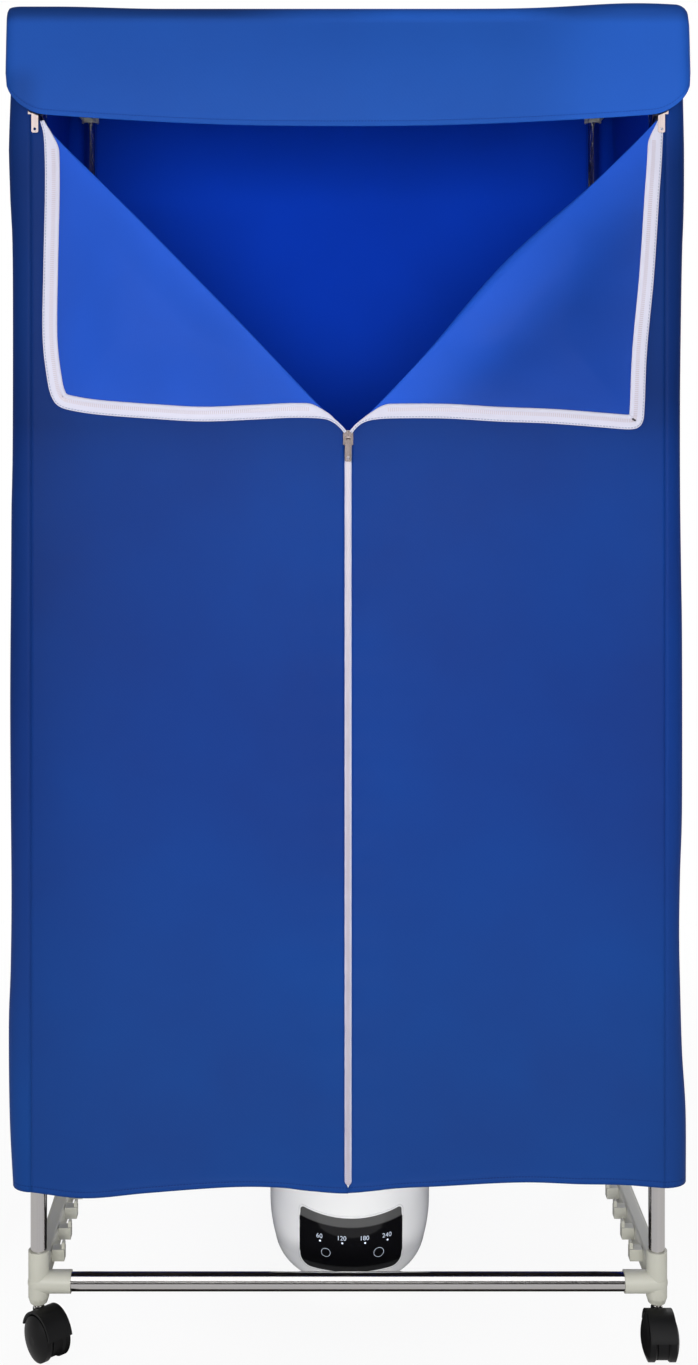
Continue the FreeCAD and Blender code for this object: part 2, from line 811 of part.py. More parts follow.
def fan_impeller():
    """Pitched blades that twist from hub to tip, on a hub with the shaft that runs in the motor."""
    motor_top = motor_seat_z + motor_height
    hub_low = motor_top + motor_nose + fan_gap
    mid_z = hub_low + fan_hub_height / 2
    hub = cylinder(fan_hub_radius, at(0, 0, hub_low), at(0, 0, hub_low + fan_hub_height))
    shaft_low = motor_top - shaft_depth + fan_gap
    shaft = cylinder(shaft_diameter / 2, at(0, 0, shaft_low), at(0, 0, hub_low))
    root = blade_section(fan_blade_root, fan_root_chord, fan_root_pitch, mid_z)
    tip = blade_section(fan_radius, fan_tip_chord, fan_tip_pitch, mid_z)
    blade = Part.makeLoft([root, tip], True, True)
    blades = []
    for i in range(fan_blades):
        copy = blade.copy()
        copy.rotate(at(0, 0, 0), Z, 360 * i / fan_blades)
        blades.append(copy)
    fan = joined([hub, shaft] + blades)
    fan.translate(at(0, heater_y, 0))
    return fan


def heating_element():
    """A ring on the ledge with thin fins across it, held by two bars."""
    low = at(0, heater_y, heater_split_z)
    high = at(0, heater_y, heater_split_z + element_height)
    ring = pipe(element_radius, element_ring, low, high)
    inside = cylinder(element_radius - element_ring / 2, low, high)
    bore = element_radius - element_ring
    step = 2 * bore / (element_fins + 1)
    top = heater_split_z + element_height
    bars = []
    for i in range(element_fins):
        x = -bore + (i + 1) * step
        bars.append(block(x - element_fin / 2, x + element_fin / 2, heater_y - bore - element_ring / 2,
                          heater_y + bore + element_ring / 2, heater_split_z, top).common(inside))
    for s in (-1, 1):
        y = heater_y + s * bore / 3
        bars.append(block(-bore - element_ring / 2, bore + element_ring / 2, y - element_fin, y + element_fin,
                          heater_split_z, top).common(inside))
    return joined([ring] + bars)


# Cloth cover: walls that hang straight from the top and belly out towards the hem


def side_wall_section(side, z, belly):
    """A side wall with its two rounded corners, cut across at one height."""
    k = math.sqrt(0.5)

    def wire_points(offset):
        r = cover_corner + offset
        x = side * (wall_x + offset)
        front = -wall_y + cover_corner
        centre_x = side * panel_x
        start = at(centre_x, front - r, z)
        bend_1 = at(centre_x + side * k * r, front - k * r, z)
        corner_1 = at(x, front, z)
        bulge = at(x + side * belly, 0, z)
        corner_2 = at(x, -front, z)
        bend_2 = at(centre_x + side * k * r, -front + k * r, z)
        end = at(centre_x, -front + r, z)
        return start, bend_1, corner_1, bulge, corner_2, bend_2, end

    o = wire_points(cloth / 2)
    i = wire_points(-cloth / 2)
    return Part.Wire([
        arc(o[0], o[1], o[2]),
        arc(o[2], o[3], o[4]),
        arc(o[4], o[5], o[6]),
        line(o[6], i[6]),
        arc(i[6], i[5], i[4]),
        arc(i[4], i[3], i[2]),
        arc(i[2], i[1], i[0]),
        line(i[0], o[0]),
    ])


def back_wall_section(z, belly):
    """The back wall cut across at one height: soft folds side by side, each an arc."""
    step = 2 * panel_x / cover_back_folds
    places = [-panel_x + i * step for i in range(cover_back_folds + 1)]
    outer = wall_y + cloth / 2
    inner = wall_y - cloth / 2
    edges = []
    for a, b in zip(places[:-1], places[1:]):
        edges.append(arc(at(a, outer, z), at((a + b) / 2, outer + belly, z), at(b, outer, z)))
    edges.append(line(at(panel_x, outer, z), at(panel_x, inner, z)))
    for a, b in zip(reversed(places[:-1]), reversed(places[1:])):
        edges.append(arc(at(b, inner, z), at((a + b) / 2, inner + belly, z), at(a, inner, z)))
    edges.append(line(at(-panel_x, inner, z), at(-panel_x, outer, z)))
    return Part.Wire(edges)


def cover_side(side):
    low = side_wall_section(side, hem_height, cover_side_belly)
    high = side_wall_section(side, cover_top_z, belly_at_top)
    wall = Part.makeLoft([low, high], True, True)
    reach = wall_x + cover_side_belly + cloth
    scoop = face_of([
        arc(at(-reach, -wall_y, hem_height), at(-reach, 0, hem_height + hem_side_rise), at(-reach, wall_y, hem_height)),
        line(at(-reach, wall_y, hem_height), at(-reach, -wall_y, hem_height)),
    ]).extrude(X * (2 * reach))
    return wall.cut(scoop)


def cover_back():
    low = back_wall_section(hem_height, cover_back_belly)
    high = back_wall_section(cover_top_z, belly_at_top)
    return Part.makeLoft([low, high], True, True)


def cover_top():
    """The top panel: a rounded rectangle that rests on the frame and carries the walls round its edge."""
    r = cover_corner + cloth / 2
    k = r * (1 - math.sqrt(0.5))
    x = wall_x + cloth / 2
    y = wall_y + cloth / 2
    z = cover_top_z
    edges = [
        line(at(r - x, -y, z), at(x - r, -y, z)),
        arc(at(x - r, -y, z), at(x - k, k - y, z), at(x, r - y, z)),
        line(at(x, r - y, z), at(x, y - r, z)),
        arc(at(x, y - r, z), at(x - k, y - k, z), at(x - r, y, z)),
        line(at(x - r, y, z), at(r - x, y, z)),
        arc(at(r - x, y, z), at(k - x, y - k, z), at(-x, y - r, z)),
        line(at(-x, y - r, z), at(-x, r - y, z)),
        arc(at(-x, r - y, z), at(k - x, k - y, z), at(r - x, -y, z)),
    ]
    return face_of(edges).extrude(Z * cloth)


def fold_line():
    """The left fold: its two ends, the direction up along it and the direction away from the opening."""
    top = at(-fold_top_x, 0, fold_top_z)
    low = at(-panel_inner_x, 0, apex_height)
    up = top - low
    up.normalize()
    return top, low, up, at(-up.z, 0, up.x)


def cover_front(side):
    """One half of the front below the zips: a wavy hem, the fold cut slantwise and a corner up to the header."""
    top, low, up, away = fold_line()
    slant_top = top + away * fold_edge
    slant_low = low + away * fold_edge
    inner = panel_inner_x
    lift = hem_left_lift if side < 0 else hem_right_lift
    end = hem_height if side < 0 else hem_right_end
    y = -wall_y - cloth / 2

    def spot(x, z):
        return at(-side * x, y, z)

    edges = [
        arc(spot(-panel_x, end), spot(-(panel_x + inner) / 2, lift), spot(-inner, hem_centre)),
        line(spot(-inner, hem_centre), spot(-inner, slant_low.z - fold_edge)),
        line(spot(-inner, slant_low.z - fold_edge), spot(slant_top.x, slant_top.z)),
        line(spot(slant_top.x, slant_top.z), spot(slant_top.x, panel_top_z_edge)),
        line(spot(slant_top.x, panel_top_z_edge), spot(-panel_x, panel_top_z_edge)),
        line(spot(-panel_x, panel_top_z_edge), spot(-panel_x, end)),
    ]
    return face_of(edges).extrude(Y * cloth)


def cover_header():
    return block(-panel_x, panel_x, -wall_y - cloth / 2, -wall_y + cloth / 2, header_chain_z + chain_width, cover_top_z)


# Zips and flaps


def centre_zip():
    """The closed chain below the slider: two rows side by side with the slider's slit between them."""
    top = apex_height - slider_post_length - slider_length / 2
    half = chain_thickness / 2
    rows = [
        block(min(s * chain_inner, s * panel_inner_x), max(s * chain_inner, s * panel_inner_x),
              -wall_y - half, -wall_y + half, hem_centre, top)
        for s in (-1, 1)
    ]
    return Part.makeCompound(rows)


def header_zip():
    end = panel_x - header_chain_end
    half = chain_thickness / 2
    return block(-end, end, -wall_y - half, -wall_y + half, header_chain_z, header_chain_z + chain_width)


def flap_outline(side, y):
    """The folded flap as it lies: the fold, a rounded corner and the two zipped edges."""
    top, low, up, away = fold_line()
    name = "left" if side < 0 else "right"
    c = at(flap_corner_inset[name] - panel_x, 0, apex_height + flap_corner_rise[name])
    a = top + away * fold_edge
    b = low + away * fold_edge
    to_a = a - c
    to_a.normalize()
    to_b = b - c
    to_b.normalize()
    half_turn = math.acos(to_a.dot(to_b)) / 2
    run = flap_corner_radius / math.tan(half_turn)
    bisector = to_a + to_b
    bisector.normalize()
    bend_middle = c + bisector * (flap_corner_radius / math.sin(half_turn) - flap_corner_radius)
    edge_tip = c + to_b * ((-flap_tip - c.x) / to_b.x)
    fold_tip = b + up * ((-flap_tip - b.x) / up.x)

    def spot(p):
        return at(-side * p.x, y, p.z)

    return [
        line(spot(a), spot(c + to_a * run)),
        arc(spot(c + to_a * run), spot(bend_middle), spot(c + to_b * run)),
        line(spot(c + to_b * run), spot(edge_tip)),
        line(spot(edge_tip), spot(fold_tip)),
        line(spot(fold_tip), spot(a)),
    ]


def flap(side):
    back = front_face - flap_lay_gap
    return face_of(flap_outline(side, back)).extrude(Y * -flap_cloth)


def flap_zip(side):
    """The tape along the two free edges of the flap: its outline less the same outline shifted inwards."""
    front = front_face - flap_lay_gap - flap_cloth
    whole = face_of(flap_outline(side, front)).extrude(Y * -tape)
    inner = whole.copy()
    inner.translate(at(-side * tape_width, 0, tape_width))
    return whole.cut(inner)


def valance():
    """The overhanging front flap: a bowed strip sewn along the top edge, with large round lower corners."""
    back_top = front_face - cover_seat_gap
    high = cover_top_z
    low = valance_bottom
    back_low = front_face - valance_stand_off
    middle_z = (high + low) / 2
    back_mid = (back_top + back_low) / 2 - valance_belly
    w = valance_half_width

    def spot(y, z):
        return at(-w, y, z)

    t = valance_cloth
    profile = face_of([
        arc(spot(back_top, high), spot(back_mid, middle_z), spot(back_low, low)),
        line(spot(back_low, low), spot(back_low - t, low)),
        arc(spot(back_low - t, low), spot(back_mid - t, middle_z), spot(back_top - t, high)),
        line(spot(back_top - t, high), spot(back_top, high)),
    ])
    strip = profile.extrude(X * (2 * w))
    r = valance_corner
    k = r * (1 - math.sqrt(0.5))
    deep = back_low - 2 * valance_stand_off
    end = low + valance_end_rise
    outline = face_of([
        line(at(-w, deep, high), at(-w, deep, end + r)),
        arc(at(-w, deep, end + r), at(k - w, deep, end + k), at(r - w, deep, end)),
        arc(at(r - w, deep, end), at(0, deep, low), at(w - r, deep, end)),
        arc(at(w - r, deep, end), at(w - k, deep, end + k), at(w, deep, end + r)),
        line(at(w, deep, end + r), at(w, deep, high)),
        line(at(w, deep, high), at(-w, deep, high)),
    ]).extrude(Y * (3 * valance_stand_off))
    return strip.common(outline)


# Sliders and pulls


def slider(x, z, along_x):
    """Two plates joined by a post that runs beside the chain, with a bridge for the pull on the front plate."""
    reach = chain_thickness / 2 + slider_gap
    half_w = slider_length / 2 if along_x else slider_width / 2
    half_h = slider_width / 2 if along_x else slider_length / 2
    front_high = -wall_y - reach
    front_low = front_high - slider_plate
    back_low = -wall_y + reach
    front = block(x - half_w, x + half_w, front_low, front_high, z - half_h, z + half_h)
    back = block(x - half_w, x + half_w, back_low, back_low + slider_plate, z - half_h, z + half_h)
    if along_x:
        post = block(x - slider_post_length / 2, x + slider_post_length / 2, front_low, back_low + slider_plate,
                     z - half_h, z - half_h + slider_post_length)
    else:
        post = block(x - slider_post / 2, x + slider_post / 2, front_low, back_low + slider_plate,
                     z + half_h - slider_post_length, z + half_h)
    bar_y = front_low - bridge_stand_off
    bar = cylinder(bridge_radius, at(x - bridge_length / 2, bar_y, z), at(x + bridge_length / 2, bar_y, z))
    cheeks = []
    for s in (-1, 1):
        edge = x + s * bridge_length / 2
        inner = edge - s * bridge_cheek
        cheeks.append(block(min(edge, inner), max(edge, inner), bar_y - bridge_radius, front_low,
                            z - bridge_radius, z + bridge_radius))
    return joined([front, back, post, bar] + cheeks)


def bridge_y():
    return -wall_y - chain_thickness / 2 - slider_gap - slider_plate - bridge_stand_off


def pull(x, z):
    """A tab that hangs from an eye round the slider's bridge, with a hole near its lower end."""
    y = bridge_y()
    half_eye = bridge_length / 2 - bridge_cheek - slider_gap
    eye = cylinder(pull_eye_radius, at(x - half_eye, y, z), at(x + half_eye, y, z))
    half_t = pull_thickness / 2
    neck = block(x - half_eye, x + half_eye, y - half_t, y + half_t, z - pull_neck - pull_thickness, z)
    tab = block(x - pull_width / 2, x + pull_width / 2, y - half_t, y + half_t, z - pull_length, z - pull_neck)
    upright_edges = [e for e in tab.Edges if abs(e.tangentAt(e.FirstParameter).y) > 0.9]
    tab = tab.makeFillet(pull_width / 4, upright_edges)
    body = eye.fuse([neck, tab])
    bore = cylinder(bridge_radius + running_fit, at(x - pull_width, y, z), at(x + pull_width, y, z))
    hole_z = z - pull_length + pull_hole_inset
    hole = cylinder(pull_hole_radius, at(x, y - pull_width, hole_z), at(x, y + pull_width, hole_z))
    return body.cut([bore, hole]).removeSplitter()


os.makedirs("parts", exist_ok=True)

corners = {
    "front_left": (-half_x, -half_y),
    "front_right": (half_x, -half_y),
    "rear_left": (-half_x, half_y),
    "rear_right": (half_x, half_y),
}
sides = {"left": -1, "right": 1}

for name, side in sides.items():
    write("bottom_side_frame_" + name, bottom_side_frame(side))
    write("top_side_frame_" + name, top_side_frame(side))
for name, y in {"front": -half_y, "rear": half_y}.items():
    write("bottom_rail_" + name, rail(y, bottom_rail_z))
    write("top_rail_" + name, rail(y, top_rail_z))
for corner, (x, y) in corners.items():
    write("lower_upright_" + corner, lower_upright(x, y))
    write("upper_upright_" + corner, upper_upright(x, y))
rod_places = [tooth_places()[i] for i in rod_teeth]
write("hanging_rods", Part.makeCompound([hanging_rod(y) for y in rod_places]))

write("caster_stems", Part.makeCompound([placed_caster_piece(stem(), corner) for corner in corners]))
for corner in corners:
    write("caster_hood_" + corner, placed_caster_piece(hood(), corner))
    write("caster_wheel_" + corner + "_a", placed_caster_piece(wheel(-1), corner))
    write("caster_wheel_" + corner + "_b", placed_caster_piece(wheel(1), corner))

heater_pieces = {
    "heater_base": heater_base(),
    "heater_crown": heater_crown(),
    "heater_feet": heater_feet(),
    "outlet_grille": outlet_grille(),
    "control_panel": control_panel(),
    "control_board": control_board(),
    "fan_motor": fan_motor(),
    "fan_impeller": fan_impeller(),
    "heating_element": heating_element(),
    "power_inlet": power_inlet(),
}
for name, shape in heater_pieces.items():
    shape.translate(at(heater_x, 0, 0))
    write(name, shape)

write("cover_top", cover_top())
write("cover_back", cover_back())
write("cover_header", cover_header())
for name, side in sides.items():
    write("cover_side_" + name, cover_side(side))
    write("cover_front_" + name, cover_front(side))
    write("flap_" + name, flap(side))
    write("flap_zip_" + name, flap_zip(side))
write("valance", valance())
write("centre_zip", centre_zip())
write("header_zip", header_zip())

park_x = panel_x - header_chain_end - slider_length / 2 + slider_park
slider_z = apex_height - slider_length / 2
write("zip_slider_centre", slider(0, slider_z, False))
write("zip_pull_centre", pull(0, slider_z))
for name, side in sides.items():
    write("zip_slider_" + name, slider(side * park_x, header_chain_z, True))
    write("zip_pull_" + name, pull(side * park_x, header_chain_z))
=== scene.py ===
import math
import bpy
import numpy as np
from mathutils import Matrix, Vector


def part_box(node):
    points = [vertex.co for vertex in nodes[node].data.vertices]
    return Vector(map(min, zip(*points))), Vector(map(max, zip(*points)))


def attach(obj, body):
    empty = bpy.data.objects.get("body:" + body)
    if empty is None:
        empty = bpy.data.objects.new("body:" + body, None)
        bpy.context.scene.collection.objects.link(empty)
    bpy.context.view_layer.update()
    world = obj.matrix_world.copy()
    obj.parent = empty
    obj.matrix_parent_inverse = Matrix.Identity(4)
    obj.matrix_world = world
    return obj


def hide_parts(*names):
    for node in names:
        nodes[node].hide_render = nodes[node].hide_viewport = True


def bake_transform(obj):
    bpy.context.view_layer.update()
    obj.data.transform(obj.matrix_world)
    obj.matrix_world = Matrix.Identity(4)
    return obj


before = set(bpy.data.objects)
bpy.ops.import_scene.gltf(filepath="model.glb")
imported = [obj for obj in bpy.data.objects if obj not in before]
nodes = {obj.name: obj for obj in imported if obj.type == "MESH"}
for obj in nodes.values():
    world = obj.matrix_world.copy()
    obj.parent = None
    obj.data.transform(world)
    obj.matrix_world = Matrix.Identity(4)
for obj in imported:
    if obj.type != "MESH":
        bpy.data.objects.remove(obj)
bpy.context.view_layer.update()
scene = bpy.context.scene

# The studio: a pale floor in a white room, a broad lamp in front, weaker ones at the side, rear and low down.
# Small lamps inside light the back of the cover and the side frames under it.
# The floor shows white to the camera and to polished metal, and still takes the shadow under the casters.
FLOOR_REACH = 14.0
FLOOR_SPOKES = 48
SHADOW_REACH = 1.5
FLOOR_WHITE = (0.96, 0.96, 0.96, 1)
FLOOR_MIRRORED = (0.70, 0.66, 0.65, 1)
FLOOR_SHINE = 0.42
FLOOR_GLOW = 0.90
ROOM_LIGHT = 0.26


def together(*parts):
    """Joins arrays of coordinates, stretched to one shape, to an array of points."""
    return np.stack(np.broadcast_arrays(*parts), axis=-1)


def circle(radius, count):
    """The two coordinates of even places round a circle."""
    angle = 2 * math.pi * np.arange(count) / count
    return radius * np.cos(angle), radius * np.sin(angle)


def feed(tree, sockets, values):
    """Gives each named socket a plain value or a link from another node's output."""
    for name, value in values.items():
        if isinstance(value, bpy.types.NodeSocket):
            tree.links.new(value, sockets[name])
        else:
            sockets[name].default_value = value


def node(tree, kind, output=None, inputs=None, **settings):
    """A new shader node with its settings and inputs: returns the named output, or else all of them."""
    made = tree.nodes.new("ShaderNode" + kind)
    for name, value in settings.items():
        setattr(made, name, value)
    feed(tree, made.inputs, inputs or {})
    return made.outputs[output] if output else made.outputs


def worked(tree, operation, *values):
    """The result of one arithmetic step on plain values or other nodes' outputs."""
    return node(tree, "Math", "Value", dict(enumerate(values)), operation=operation)


def mixed(tree, share, first, second, way="MIX"):
    """A colour between two, by share; or the first multiplied by the second, as far as share says."""
    inputs = {"Factor": share, "A": first, "B": second}
    return node(tree, "Mix", "Result", inputs, data_type="RGBA", blend_type=way)


def new_material(name):
    """A material with nodes: returns it, its tree and the inputs of its main shader."""
    material = bpy.data.materials.new(name)
    material.use_nodes = True
    tree = material.node_tree
    return material, tree, tree.nodes["Principled BSDF"].inputs


floor_mesh = bpy.data.meshes.new("floor")
floor_mesh.from_pydata(together(*circle(FLOOR_REACH, FLOOR_SPOKES), 0).tolist(), [], [range(FLOOR_SPOKES)])
floor = bpy.data.objects.new("floor", floor_mesh)
scene.collection.objects.link(floor)
floor_paint, tree, shader = new_material("floor_paint")
tree.nodes.remove(tree.nodes["Principled BSDF"])
path = node(tree, "LightPath")
mirrored = mixed(tree, path["Is Glossy Ray"], FLOOR_WHITE, FLOOR_MIRRORED)
matt = node(tree, "BsdfDiffuse", "BSDF", {"Color": mirrored})
glow = node(tree, "Emission", "Emission")
place = node(tree, "TexCoord", "Object")
away = node(tree, "VectorMath", "Value", {0: place}, operation="LENGTH")
whitened = node(tree, "MapRange", "Result", {"Value": away, "From Max": SHADOW_REACH, "To Min": FLOOR_GLOW})
seen = worked(tree, "MULTIPLY", path["Is Camera Ray"], whitened)
share = worked(tree, "MULTIPLY_ADD", path["Is Glossy Ray"], FLOOR_SHINE, seen)
surface = node(tree, "MixShader", "Shader", {"Fac": share, 1: matt, 2: glow})
feed(tree, tree.nodes["Material Output"].inputs, {"Surface": surface})
floor_mesh.materials.append(floor_paint)

room = bpy.data.worlds.new("room")
room.use_nodes = True
tree = room.node_tree
path = node(tree, "LightPath")
seen = worked(tree, "MAXIMUM", path["Is Camera Ray"], path["Is Transmission Ray"])
strength = node(tree, "MapRange", "Result", {"Value": seen, "To Min": ROOM_LIGHT})
feed(tree, tree.nodes["Background"].inputs, {"Color": (1, 1, 1, 1), "Strength": strength})
scene.world = room


def lamp(name, place, target, width, height, power):
    """A flat rectangular lamp at place, turned to face target."""
    data = bpy.data.lights.new(name, "AREA")
    data.shape = "RECTANGLE"
    data.size = width
    data.size_y = height
    data.energy = power
    made = bpy.data.objects.new(name, data)
    made.location = place
    turn = np.array(target) - np.array(place)
    level = math.hypot(turn[0], turn[1])
    made.rotation_euler = (math.atan2(level, -turn[2]), 0, math.atan2(turn[1], turn[0]) - math.pi / 2)
    scene.collection.objects.link(made)
    return made


lamp("front_lamp", (-0.1, -3.4, 1.05), (0, 0, 0.85), 1.5, 0.9, 74)
lamp("side_lamp", (-2.6, -2.2, 1.9), (0, 0, 0.9), 1.0, 1.6, 13)
lamp("inside_lamp_left", (-0.22, -0.19, 1.29), (-0.16, 0.24, 1.25), 0.18, 0.08, 0.20)
lamp("inside_lamp_right", (0.22, -0.19, 1.29), (0.16, 0.24, 1.25), 0.18, 0.08, 0.20)
lamp("rear_lamp", (1.6, 3.2, 1.6), (0, 0, 0.9), 1.6, 1.2, 30)
lamp("low_lamp_left", (-1.5, -0.9, 0.30), (0, 0, 0.12), 0.5, 0.3, 2)
lamp("low_lamp_right", (1.5, -0.9, 0.30), (0, 0, 0.12), 0.5, 0.3, 2)
for side, name, power in ((-1, "under_lamp_left", 0.20), (1, "under_lamp_right", 0.12)):
    under = lamp(name, (0.17 * side, -0.02, 0.205), (0.34 * side, -0.02, 0.13), 0.36, 0.02, power)
    under.visible_glossy = False

# Cards round the set, which only polished surfaces see: they give the tubes their dark and bright stripes.
# Dark ones stand in front, lie on the floor and hang above the lower rails; a white one leans over the front.
CARD_HALF = 2.6
CARD_HIGH = 1.30
CARD_LOW = 0.001
CARD_Y = -2.3
CARD_NEAR = -0.80
OVER_X, OVER_Y, OVER_Z = 0.33, 0.22, 0.24
UNDER_X, UNDER_FRONT, UNDER_BACK = 0.32, -0.245, 0.21
WHITE_TOP_Y, WHITE_TOP_Z = -0.75, 3.0
DARK_FELT = (0.02, 0.015, 0.013, 1)
WHITE_FELT = (0.8, 0.8, 0.8, 1)
WHITE_GLOW = 1.25


def card(name, corners, colour, glow):
    """A card of flat quads, four corners each, which only reflections show, with light of its own."""
    mesh = bpy.data.meshes.new(name)
    mesh.from_pydata(corners, [], np.arange(len(corners)).reshape(-1, 4).tolist())
    made = bpy.data.objects.new(name, mesh)
    scene.collection.objects.link(made)
    made.visible_camera = False
    made.visible_diffuse = False
    made.visible_shadow = False
    made.visible_transmission = False
    felt, tree, shader = new_material(name)
    feed(tree, shader, {"Base Color": colour, "Roughness": 1.0, "Emission Color": (1, 1, 1, 1),
                        "Emission Strength": glow})
    mesh.materials.append(felt)


def level_quad(half, front, back, z):
    """The corners of a level rectangle, round from the front left."""
    return [(-half, front, z), (half, front, z), (half, back, z), (-half, back, z)]


front_quad = [(-CARD_HALF, CARD_Y, CARD_HIGH), (CARD_HALF, CARD_Y, CARD_HIGH), (CARD_HALF, CARD_Y, CARD_LOW),
              (-CARD_HALF, CARD_Y, CARD_LOW)]
card("dark_card", front_quad + level_quad(CARD_HALF, CARD_Y, CARD_NEAR, CARD_LOW)
     + level_quad(OVER_X, -OVER_Y, OVER_Y, OVER_Z)
     + level_quad(UNDER_X, UNDER_FRONT, UNDER_BACK, CARD_LOW), DARK_FELT, 0.0)
leaning_top = [(CARD_HALF, WHITE_TOP_Y, WHITE_TOP_Z), (-CARD_HALF, WHITE_TOP_Y, WHITE_TOP_Z)]
card("white_card", front_quad[:2] + leaning_top, WHITE_FELT, WHITE_GLOW)

scene.view_settings.view_transform = "Standard"

# The camera stands level with the zip slider, a little left of the middle, with the lens shifted down.
# The distances come from the photograph's own perspective.
PHOTO_WIDTH = 698
PHOTO_HEIGHT = 1365
HORIZON_ROW = 410
VANISHING_COLUMN = 315
FOCAL_PIXELS = 1699
FILM = 36.0
CAMERA_PLACE = (-0.0360, -2.085, 1.035)
camera_data = bpy.data.cameras.new("camera")
camera_data.sensor_width = FILM
camera_data.lens = FILM * FOCAL_PIXELS / PHOTO_HEIGHT
camera_data.shift_x = (PHOTO_WIDTH / 2 - VANISHING_COLUMN) / PHOTO_HEIGHT
camera_data.shift_y = (HORIZON_ROW - PHOTO_HEIGHT / 2) / PHOTO_HEIGHT
camera = bpy.data.objects.new("camera", camera_data)
camera.location = CAMERA_PLACE
camera.rotation_euler = (math.pi / 2, 0, 0)
scene.collection.objects.link(camera)
scene.camera = camera

# Side frames: ivory mouldings that carry the tubes in sockets, with a ribbed beam and hook teeth between.
# The plastic is matt, with a fine moulded grain and a faint yellowing from place to place.
SIDES = ((-1, "left"), (1, "right"))
IVORY = (0.485, 0.480, 0.412)
IVORY_GRAIN = 900.0
SLOW_PATCHES = 9.0
SKIN_DEPTH = 0.0002
COLOUR_SOCKETS = ("Tone", "Light", "Deep", "Colour")


def new_group(name, inputs, outputs):
    """An empty node group with named sockets: returns it, what it is given and its result."""
    group = bpy.data.node_groups.new(name, "ShaderNodeTree")
    for direction, sockets in (("INPUT", inputs), ("OUTPUT", outputs)):
        for socket in sockets:
            kind = "NodeSocketColor" if socket in COLOUR_SOCKETS else "NodeSocketFloat"
            group.interface.new_socket(socket, in_out=direction, socket_type=kind)
    given = group.nodes.new("NodeGroupInput")
    result = group.nodes.new("NodeGroupOutput")
    return group, given.outputs, result.inputs


def grain_group():
    """Moulded plastic: fine noise for the skin's grain, and slow noise that shades the tone up and down."""
    group, given, result = new_group("moulded_grain", ("Tone", "Grain", "Spread", "Roughness"),
                                     ("Colour", "Roughness", "Height"))
    place = node(group, "TexCoord", "Object")
    fine = node(group, "TexNoise", "Fac", {"Vector": place, "Scale": given["Grain"], "Detail": 2.0})
    slow = node(group, "TexNoise", "Fac", {"Vector": place, "Scale": SLOW_PATCHES})
    low = worked(group, "SUBTRACT", 1.0, given["Spread"])
    high = worked(group, "ADD", 1.0, given["Spread"])
    lift = node(group, "MapRange", "Result", {"Value": slow, "From Min": 0.3, "From Max": 0.7, "To Min": low,
                                              "To Max": high})
    shade = node(group, "HueSaturation", "Color", {"Value": lift, "Color": given["Tone"]})
    rough = worked(group, "MULTIPLY_ADD", slow, 0.12, given["Roughness"])
    feed(group, result, {"Colour": shade, "Roughness": rough, "Height": fine})
    return group


moulded_grain = grain_group()


def grouped(name, group, inputs, bump, depth, mirror):
    """A material whose colour, roughness and bump come from a node group; mirror is how much it reflects."""
    material, tree, shader = new_material(name)
    made = node(tree, "Group", None, inputs, node_tree=group)
    relief = node(tree, "Bump", "Normal", {"Strength": bump, "Distance": depth, "Height": made["Height"]})
    feed(tree, shader, {"Base Color": made["Colour"], "Roughness": made["Roughness"], "Normal": relief,
                        "Specular IOR Level": mirror})
    return material


def plastic(name, tone, grain, spread, roughness, bump, mirror=0.5):
    """A moulded plastic: its grain's fineness, the spread of its tone, its roughness and its relief."""
    inputs = {"Tone": (*tone, 1), "Grain": grain, "Spread": spread, "Roughness": roughness}
    return grouped(name, moulded_grain, inputs, bump, SKIN_DEPTH, mirror)


def dress(names, material):
    """Gives CAD nodes a material in place of the plain one."""
    for name in names:
        for slot in nodes[name].material_slots:
            slot.material = material


ivory_plastic = plastic("ivory_plastic", IVORY, IVORY_GRAIN, 0.05, 0.38, 0.25)
dress([end + "_side_frame_" + name for end in ("bottom", "top") for side, name in SIDES], ivory_plastic)

# Tubes: polished stainless steel, drawn along their length, pushed into the sockets of the side frames.
# The drawing leaves faint streaks along the tube; the uprights plug together at half height.
STEEL = (0.66, 0.645, 0.63)
STEEL_STREAK = 0.86
STREAK_FINE = 900.0
STREAK_LONG = 2.0
POLISH = 0.05
POLISH_STREAK = 0.13


def drawn_steel(name, along, tone=STEEL, streak=STEEL_STREAK):
    """Metal with noise stretched along one axis, which shades it down to streak and roughens it a little."""
    material, tree, shader = new_material(name)
    place = node(tree, "TexCoord", "Object")
    scale = [STREAK_LONG if axis == along else STREAK_FINE for axis in "XYZ"]
    stretch = node(tree, "Mapping", "Vector", {"Vector": place, "Scale": scale})
    streaks = node(tree, "TexNoise", "Fac", {"Vector": stretch, "Scale": 1.0, "Detail": 3.0})
    shaded = mixed(tree, streaks, (*[streak * v for v in tone], 1), (*tone, 1))
    rough = node(tree, "MapRange", "Result", {"Value": streaks, "To Min": POLISH, "To Max": POLISH_STREAK})
    feed(tree, shader, {"Metallic": 1.0, "Base Color": shaded, "Roughness": rough})
    return material


rail_steel = drawn_steel("rail_steel", "X")
upright_steel = drawn_steel("upright_steel", "Z")
CORNERS = ("front_left", "front_right", "rear_left", "rear_right")
dress([end + "_rail_" + place for end in ("bottom", "top") for place in ("front", "rear")], rail_steel)
dress(["hanging_rods"], rail_steel)
dress([part + "_upright_" + corner for part in ("lower", "upper") for corner in CORNERS], upright_steel)

